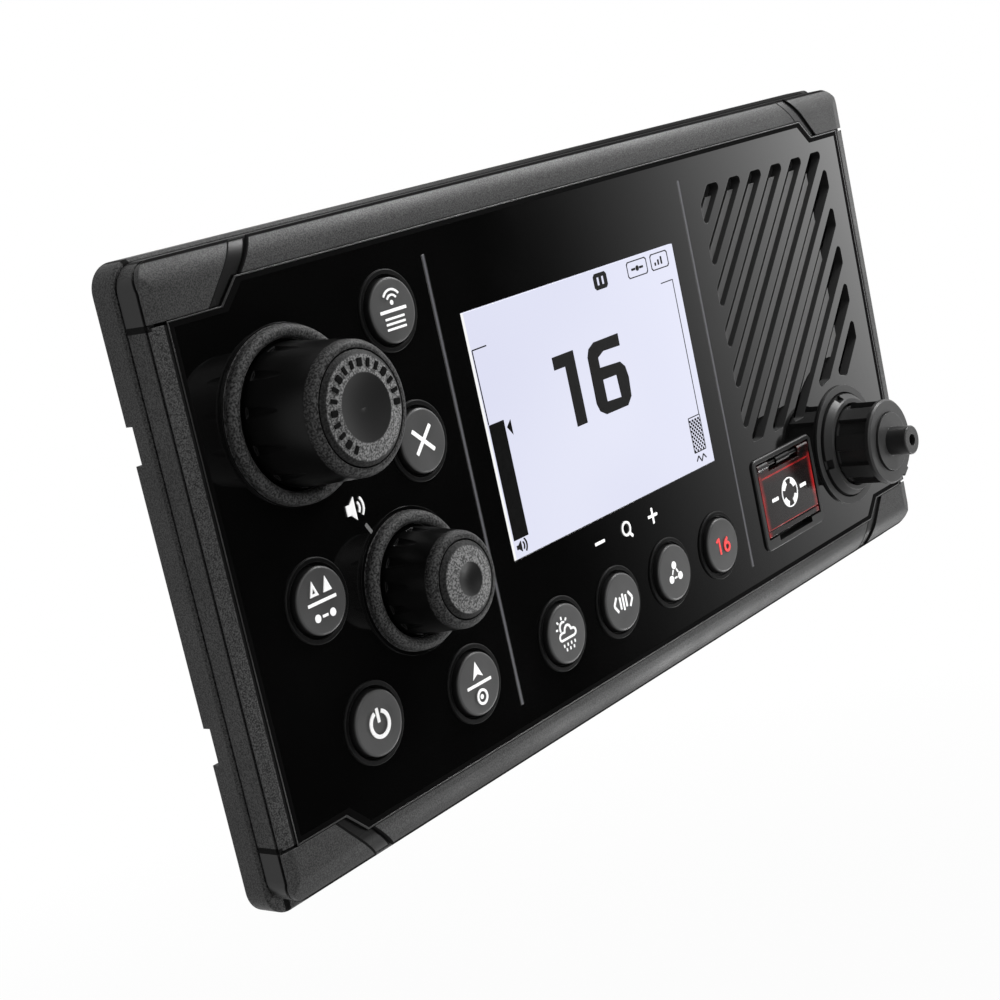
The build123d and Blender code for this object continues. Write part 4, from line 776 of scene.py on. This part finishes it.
def box_outline(low, high, corner):
    """Corner points of a rectangle whose corners are cut off."""
    return (
        (low[0] + corner, low[1]), (high[0] - corner, low[1]), (high[0], low[1] + corner),
        (high[0], high[1] - corner), (high[0] - corner, high[1]), (low[0] + corner, high[1]),
        (low[0], high[1] - corner), (low[0], low[1] + corner),
    )


def printed(name, strokes, front, finish, body, place=(0.0, 0.0)):
    """Join strokes into one mark lying on a surface that faces the user."""
    for level, stroke in enumerate(strokes):
        stroke.location.y = (front - INK - level * INK_STEP) * MM
    bpy.ops.object.select_all(action="DESELECT")
    for stroke in strokes:
        stroke.select_set(True)
    bpy.context.view_layer.objects.active = strokes[0]
    apply_place()
    if len(strokes) > 1:
        bpy.ops.object.join()
    mark = bpy.context.object
    mark.name = name
    mark.data.name = name
    mark.location = (place[0] * MM, 0.0, place[1] * MM)
    apply_place()
    bpy.ops.object.modifier_add(type="SOLIDIFY")
    mark.modifiers[0].thickness = (INK + INK_SUNK) * MM
    mark.modifiers[0].offset = -1.0
    bpy.ops.object.modifier_apply(modifier=mark.modifiers[0].name)
    mark.data.materials.append(finish)
    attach(mark, body)


# ------------------------------------------------------------------ marks on the keys
# white and red print shine with painted light through glow
white_ink = print_ink("white_print", tone(232), 0.25)
red_ink = print_ink("red_print", tone(226, (1.0, 0.05, 0.05)), 0.3)
grey_ink = print_ink("grey_print", tone(112))
dark_ink = print_ink("dark_print", tone(10), specular=0.05)
lcd_ink = print_ink("lcd_segments", tone(24), specular=0.05)


def rule_line():
    """Line between the upper and the lower symbol of a double key."""
    return bar((-3.0, 0.0), (3.0, 0.0), 0.5)


key_marks = {
    # calls above, menu below
    "call_key": lambda: [
        rule_line(),
        dot((0.0, 1.2), 0.38),
        arc((0.0, 1.1), 1.25, 0.34, 35, 110, 12),
        arc((0.0, 1.1), 2.1, 0.34, 35, 110, 14),
        *(bar((-2.2, z), (2.2, z), 0.36) for z in (-1.15, -1.95, -2.75)),
    ],
    "cancel_key": lambda: [
        bar((-2.3, 2.0), (2.0, -1.9), 0.68),
        bar((-2.15, -1.8), (2.0, 2.1), 0.68),
    ],
    # other vessels above, intercom below
    "traffic_key": lambda: [
        rule_line(),
        plate(((-2.3, 1.1), (-0.5, 1.1), (-1.4, 3.4)), ((-1.75, 1.5), (-1.05, 1.5), (-1.4, 2.4))),
        plate(((0.5, 1.1), (2.3, 1.1), (1.4, 3.4))),
        dot((-1.6, -2.2), 0.62),
        dot((1.6, -2.2), 0.62),
        bar((-0.6, -2.2), (0.6, -2.2), 0.42),
    ],
    "power_key": lambda: [
        arc((0.0, -0.1), 1.95, 0.62, 112, 316, 36),
        bar((0.0, 0.1), (0.0, 2.35), 0.62),
    ],
    # heading above, marked place below
    "waypoint_key": lambda: [
        rule_line(),
        plate(((-1.25, 0.95), (0.0, 1.6), (1.25, 0.95), (0.0, 3.7))),
        arc((0.0, -2.15), 1.1, 0.42, 0, 360, 28),
        dot((0.0, -2.15), 0.4),
    ],
    "weather_key": lambda: [
        plate(
            (
                (-1.9, -0.95), (1.7, -0.95), (2.25, -0.7), (2.5, -0.2), (2.35, 0.35),
                (1.85, 0.7), (1.3, 0.75), (1.05, 1.3), (0.5, 1.65), (-0.15, 1.6),
                (-0.65, 1.2), (-0.85, 0.65), (-1.5, 0.7), (-2.1, 0.45), (-2.4, -0.05),
                (-2.3, -0.6),
            ),
            (
                (-1.75, -0.55), (1.6, -0.55), (1.95, -0.4), (2.08, -0.15), (1.95, 0.15),
                (1.65, 0.33), (1.0, 0.36), (0.75, 0.95), (0.4, 1.22), (0.0, 1.2),
                (-0.32, 0.9), (-0.55, 0.25), (-1.4, 0.3), (-1.8, 0.15), (-1.98, -0.1),
                (-1.95, -0.4),
            ),
        ),
        arc((-0.9, 1.35), 0.95, 0.36, 60, 150, 14),
        bar((-0.9, 2.65), (-0.9, 3.25), 0.36),
        bar((-1.85, 2.25), (-2.25, 2.65), 0.36),
        bar((-2.25, 1.35), (-2.8, 1.35), 0.36),
        bar((0.05, 2.3), (0.4, 2.7), 0.36),
        *(bar((x, -1.45), (x, -2.0), 0.34) for x in (-1.45, -0.45, 0.55, 1.55)),
        *(bar((x, -2.25), (x, -2.8), 0.34) for x in (-0.95, 0.05, 1.05)),
    ],
    # sweep through the channels
    "scan_key": lambda: [
        *(
            bar((side * 2.75, 0.0), (side * 1.75, rise), 0.5)
            for side in (-1, 1)
            for rise in (1.35, -1.35)
        ),
        *(bar((x, -end), (x, end), 0.5) for x, end in ((-0.85, 1.1), (0.0, 1.5), (0.85, 1.1))),
    ],
    # three channels watched in turn
    "watch_key": lambda: [
        dot((0.0, 1.35), 0.72),
        dot((-1.4, -0.95), 0.72),
        dot((1.4, -0.95), 0.72),
        bar((-0.95, -0.2), (-0.45, 0.6), 0.34),
        bar((0.95, -0.2), (0.45, 0.6), 0.34),
        bar((-0.45, -0.95), (0.45, -0.95), 0.34),
    ],
    "channel_16_key": lambda: [
        bar((-1.15, -1.5), (-1.15, 1.62), 0.52),
        bar((-1.35, 1.45), (-2.05, 0.95), 0.46),
        arc((1.05, -0.55), 0.78, 0.5, 0, 360, 28),
        arc((1.55, -0.4), 1.28, 0.5, 100, 80, 12),
        bar((1.25, 0.88), (1.75, 1.0), 0.5),
    ],
}
for key_name, strokes in key_marks.items():
    ink = red_ink if key_name == "channel_16_key" else white_ink
    printed(f"{key_name}_mark", strokes(), KEY_TOP, ink, key_name, KEYS[key_name])


# ------------------------------------------------------------------ marks on the panel
def rim_point(radius, angle):
    """Point at a radius, at an angle in degrees from the right."""
    return (radius * math.cos(math.radians(angle)), radius * math.sin(math.radians(angle)))


printed(
    "zoom_marks",
    [
        bar((-13.0, -18.6), (-10.1, -18.6), 0.55),
        bar((3.4, -18.65), (6.35, -18.65), 0.55),
        bar((4.87, -20.1), (4.87, -17.2), 0.55),
        arc((-3.6, -18.5), 1.15, 0.42, 0, 360, 28),
        bar((-2.85, -19.35), (-1.9, -20.35), 0.55),
    ],
    FACE, white_ink, "radio",
)
printed(
    "volume_marks",
    [
        plate(
            (
                (-69.3, 3.3), (-68.5, 3.3), (-67.4, 2.3), (-67.4, 5.9), (-68.5, 4.9),
                (-69.3, 4.9),
            )
        ),
        arc((-67.6, 4.1), 1.15, 0.36, -42, 84, 12),
        arc((-67.6, 4.1), 2.0, 0.36, -42, 84, 14),
    ],
    FACE, white_ink, "radio",
)
printed(
    "volume_tick", [bar((-65.94, 1.2), (-65.0, -0.41), 0.6)], FACE, grey_ink, "radio",
)
printed(
    "channel_cap_scale",
    [
        bar(rim_point(5.75, angle), rim_point(7.0, angle), 0.62 if step % 3 else 0.95)
        for step, angle in enumerate(range(-6, 235, 15))
    ],
    CHANNEL_CAP_FRONT, dark_ink, "channel_knob", CHANNEL_KNOB,
)


# ------------------------------------------------------------------ marks on the screen
def chequered(low, high, pitch):
    """Staggered rows of short dashes that fill a rectangle with grey."""
    dashes = []
    rows = int((high[1] - low[1]) / pitch)
    columns = int((high[0] - low[0]) / (2 * pitch))
    for row in range(rows):
        z = low[1] + (row + 0.5) * pitch
        for column in range(columns):
            x = low[0] + (2 * column + (1.5 if row % 2 else 0.5)) * pitch
            dashes.append(bar((x - pitch * 0.4, z), (x + pitch * 0.5, z), pitch * 0.85))
    return dashes


def badge_frame(left, right):
    """Outline of a badge in the screen's top row."""
    return plate(
        box_outline((left, 22.9), (right, 25.95), 0.4),
        box_outline((left + 0.2, 23.1), (right - 0.2, 25.75), 0.35),
    )


SQUELCH_WAVE = ((21.8, -13.3), (22.6, -12.4), (23.4, -13.6), (24.2, -12.4), (25.0, -13.3))

printed(
    "channel_digits",
    [
        plate(
            (
                (-14.1, 12.5), (-10.99, 12.5), (-10.99, 1.93), (-8.15, 1.93), (-8.15, 14.7),
                (-14.1, 14.7),
            )
        ),
        plate(
            (
                (5.35, 14.67), (5.3, 12.48), (0.22, 12.62), (-1.59, 11.83), (-1.59, 10.03),
                (4.4, 9.76), (5.64, 8.63), (6.05, 6.62), (5.72, 3.25), (4.24, 1.9),
                (-2.28, 1.91), (-3.89, 2.81), (-4.51, 4.29), (-4.4, 12.48), (-3.68, 13.81),
                (-1.94, 14.64),
            ),
            ((-1.46, 7.86), (2.72, 7.8), (2.92, 3.75), (-1.43, 3.97)),
        ),
    ],
    SCREEN_FRONT, lcd_ink, "radio",
)
printed(
    "volume_level",
    [
        plate(((-33.65, -11.5), (-29.85, -11.5), (-29.85, 8.0), (-33.65, 8.0))),
        bar((-33.55, 8.07), (-33.66, 20.41), 0.22),
        bar((-33.66, 20.41), (-29.95, 20.45), 0.22),
        plate(((-29.19, 6.59), (-27.98, 5.04), (-27.98, 7.63))),
    ],
    SCREEN_FRONT, print_ink("lcd_black", tone(8), specular=0.03), "radio",
)
printed(
    "squelch_level",
    [
        bar((25.3, -5.1), (25.35, 20.33), 0.18),
        bar((25.35, 20.33), (21.54, 20.31), 0.18),
        bar((21.6, -11.65), (21.6, -5.1), 0.18),
        bar((25.4, -11.65), (25.4, -5.1), 0.18),
        bar((21.6, -5.1), (25.4, -5.1), 0.18),
        bar((21.6, -11.65), (25.4, -11.65), 0.18),
        *chequered((21.6, -11.6), (25.4, -5.2), 0.47),
    ],
    SCREEN_FRONT, lcd_ink, "radio",
)
printed(
    "status_badges",
    [
        plate(
            box_outline((1.75, 22.94), (5.75, 25.83), 0.5),
            ((2.75, 23.7), (3.35, 23.7), (3.35, 25.1), (2.75, 25.1)),
            ((4.15, 23.7), (4.75, 23.7), (4.75, 25.1), (4.15, 25.1)),
        ),
        badge_frame(12.1, 18.4),
        bar((13.4, 24.4), (14.6, 24.4), 0.42),
        bar((15.9, 24.4), (17.1, 24.4), 0.42),
        dot((15.25, 24.4), 0.5),
        badge_frame(19.6, 25.25),
        *(bar((x, 23.7), (x, top), 0.45) for x, top in ((21.0, 24.3), (22.0, 24.7), (23.0, 25.1))),
    ],
    SCREEN_FRONT, lcd_ink, "radio",
)
printed(
    "level_icons",
    [
        plate(
            (
                (-33.3, -13.15), (-32.8, -13.15), (-32.1, -13.7), (-32.1, -11.9),
                (-32.8, -12.45), (-33.3, -12.45),
            )
        ),
        arc((-32.2, -12.8), 0.85, 0.24, -45, 90, 8),
        arc((-32.2, -12.8), 1.5, 0.24, -45, 90, 8),
        *(bar(near, far, 0.26) for near, far in zip(SQUELCH_WAVE, SQUELCH_WAVE[1:])),
    ],
    SCREEN_FRONT, lcd_ink, "radio",
)


# ------------------------------------------------------------------ painted shade over the gap round the panel, and its lip
def panel_outline(grow):
    """Corner points of the stepped panel, each side moved out by grow."""
    side, top = PANEL_EDGE + grow, PANEL_TOP + grow
    step_x, step_z = STEP_SIDE + grow, STEP_TOP + grow
    quarter = ((side, step_z), (step_x, step_z), (step_x - STEP_SLANT, top))
    upper = (*quarter, *((-x, z) for x, z in reversed(quarter)))
    return (*upper, *((-x, -z) for x, z in upper))


for name, inner, outer, depth, coat in (
    ("panel_gap_shade", -0.52, 0.62, 0.0, gap_shade_finish),
    ("panel_lip", 0.28, 0.5, -0.03, lip_finish),
):
    ring = plate(panel_outline(outer), panel_outline(inner))
    printed(name, [ring], FACE + depth, coat, "radio")


# ------------------------------------------------------------------ mark on the flap
printed(
    "flap_mark",
    [
        *(arc((0.0, 0.0), 2.3, 1.1, start, 46, 10) for start in (22, 112, 202, 292)),
        arc((0.0, 0.0), 2.85, 0.24, 0, 360, 36),
        bar((-6.6, 0.0), (-4.2, 0.0), 0.7),
        bar((4.2, 0.0), (6.6, 0.0), 0.7),
    ],
    FLAP_FRONT, white_ink, "distress_flap", DISTRESS,
)


# ------------------------------------------------------------------ screw heads at the back
DRIVE_RADIUS = 1.35
DRIVE_LIP = 0.2  # rim left standing round the drive
DRIVE_DEPTH = 0.04


def hex_socket(x, y, z):
    """Hexagon drive in a screw head whose outer face is at y, in metres."""
    bpy.ops.object.select_all(action="DESELECT")
    bpy.ops.mesh.primitive_cylinder_add(
        vertices=6,
        radius=DRIVE_RADIUS * MM,
        depth=0.2 * MM,
        location=(x, y - 0.05 * MM, z),
        rotation=(math.pi / 2, 0.0, 0.0),
    )
    apply_place()
    socket = bpy.context.object
    bpy.ops.object.mode_set(mode="EDIT")
    bpy.ops.mesh.select_mode(type="FACE")
    bpy.ops.mesh.select_all(action="DESELECT")
    bpy.ops.object.mode_set(mode="OBJECT")
    for face in socket.data.polygons:
        face.select = face.normal.y > 0.9
    bpy.ops.object.mode_set(mode="EDIT")
    bpy.ops.mesh.inset(thickness=DRIVE_LIP * MM)
    bpy.ops.mesh.extrude_region_move(
        TRANSFORM_OT_translate={"value": (0.0, -DRIVE_DEPTH * MM, 0.0)}
    )
    bpy.ops.object.mode_set(mode="OBJECT")
    return socket


def screw_drives(name, screws, places):
    """All the drives of one set of screws, as one piece."""
    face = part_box(screws)[1][1]
    sockets = [hex_socket(x * MM, face, z * MM) for x, z in places]
    for socket in sockets:
        socket.select_set(True)
    bpy.ops.object.join()
    drives = bpy.context.object
    drives.name = name
    drives.data.name = name
    drives.data.materials.append(drive_shade_finish)
    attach(drives, "radio")


# drives painted as dark steel: painted shade in the hex recesses
drive_shade_finish = metal("drive_recess_shade", 40, 0.6, 0.2, 0.01)
screw_drives("case_screw_drives", "case_screws", CASE_SCREWS)
screw_drives("chassis_screw_drives", "chassis_screws", CHASSIS_SCREWS)


# ------------------------------------------------------------------ camera and studio
def aim_camera():
    """Camera in front of the radio's left end, turned to the right and rolled a little."""
    right = Vector((0.60942889, -0.76409804, -0.21154343))
    down = Vector((-0.28024348, 0.04198915, -0.95901017))
    ahead = Vector((0.74166032, 0.64373217, -0.18854409))
    eye = Vector((-266.0437, -210.2265, 54.6485)) * MM
    bpy.ops.object.camera_add()
    camera = bpy.context.object
    camera.name = "front_camera"
    camera.data.sensor_width = 36.0
    camera.data.lens = 69.299
    camera.data.clip_start = 0.01
    camera.data.clip_end = 20.0
    turn = Matrix((right, -down, -ahead)).transposed()
    camera.matrix_world = Matrix.Translation(eye) @ turn.to_4x4()
    bpy.context.scene.camera = camera


def soft_box(name, place, target, width, height, power):
    """Rectangular studio lamp aimed at a point."""
    bpy.ops.object.light_add(type="AREA", location=place)
    lamp = bpy.context.object
    lamp.name = name
    lamp.data.shape = "RECTANGLE"
    lamp.data.size = width
    lamp.data.size_y = height
    lamp.data.energy = power
    lamp.rotation_euler = (Vector(target) - Vector(place)).to_track_quat("-Z", "Y").to_euler()


def seen_plainly(material):
    """Mask that is 1 for the camera, for gloss and for glass."""
    path = node(material, "LightPath")
    seen = larger(material, path.outputs["Is Camera Ray"], path.outputs["Is Glossy Ray"])
    return larger(material, seen, path.outputs["Is Transmission Ray"])


def studio_sweep():
    """Pale floor that runs into the white background."""
    material = bare_material("studio_floor")
    place = own_coordinates(material)
    mottle = noise(material, place, 300.0, 2.0)
    pale = blend(material, mottle, tone(236), tone(242))
    matt = node(material, "BsdfDiffuse", {"Color": pale})
    glow = node(material, "Emission", {"Color": (1.0, 1.0, 1.0, 1.0), "Strength": 1.0})
    away = node(material, "VectorMath", {0: place}, operation="LENGTH").outputs["Value"]
    fade = ramp(material, away, 0.2, 0.9, 0.86, 1.0)
    share = product(material, fade, seen_plainly(material))
    mixed = node(material, "MixShader", {0: share, 1: matt.outputs[0], 2: glow.outputs[0]})
    node(material, "OutputMaterial", {"Surface": mixed.outputs[0]})
    bpy.ops.mesh.primitive_plane_add(size=12.0, location=(0.0, 0.0, -0.35))
    floor = bpy.context.object
    floor.name = "studio_floor"
    floor.data.materials.append(material)


def reflection_card():
    """Panel that only glossy surfaces see: black on one side, fading to light on the other."""
    material = bare_material("reflection_card")
    coordinates = node(material, "TexCoord").outputs["Object"]
    split = axes(material, coordinates)
    across = ramp(material, split["X"], 0.02, 0.19)
    swell = math_node(material, "POWER", across, 2.0)
    height = ramp(material, split["Y"], -0.2, 0.02, 0.3, 1.1)
    level = product(material, swell, height)
    strength = product(material, level, 3.0)
    light = node(material, "Emission", {"Color": (1.0, 1.0, 1.0, 1.0), "Strength": strength})
    node(material, "OutputMaterial", {"Surface": light.outputs[0]})
    bpy.ops.mesh.primitive_plane_add(size=1.0)
    card = bpy.context.object
    card.name = "reflection_card"
    card.scale = (0.8, 0.68, 1.0)
    bpy.ops.object.transform_apply(location=False, rotation=False, scale=True)
    card.location = (0.35, -0.35, 0.0)
    card.rotation_euler = (math.pi / 2, 0.0, math.pi / 4)
    card.data.materials.append(material)
    card.visible_camera = False
    card.visible_diffuse = False
    card.visible_shadow = False
    card.visible_transmission = False


def white_surroundings():
    """Even soft light, seen as white by the camera and in gloss, metal and glass."""
    world = bpy.data.worlds.new("studio")
    world.use_nodes = True
    world.node_tree.nodes.clear()
    ambient = node(world, "Background", {"Color": (1.0, 1.0, 1.0, 1.0), "Strength": 0.45})
    white = node(world, "Background", {"Color": (1.0, 1.0, 1.0, 1.0), "Strength": 1.0})
    share = seen_plainly(world)
    mixed = node(world, "MixShader", {0: share, 1: ambient.outputs[0], 2: white.outputs[0]})
    node(world, "OutputWorld", {"Surface": mixed.outputs[0]})
    bpy.context.scene.world = world


bpy.ops.object.select_all(action="DESELECT")
aim_camera()
studio_sweep()
reflection_card()
white_surroundings()
soft_box("overhead_lamp", (0.35, -0.3, 0.65), (0.05, 0.0, 0.0), 0.5, 0.4, 2.4)
soft_box("front_lamp", (0.1, -0.95, 0.35), (0.0, 0.0, 0.0), 0.5, 0.4, 3.6)
soft_box("right_lamp", (0.25, -0.12, 0.25), (0.09, 0.0, 0.03), 0.12, 0.12, 1.2)
soft_box("low_lamp", (0.3, -0.15, -0.25), (0.09, 0.0, -0.03), 0.12, 0.12, 0.6)
bpy.context.scene.view_settings.view_transform = "Standard"
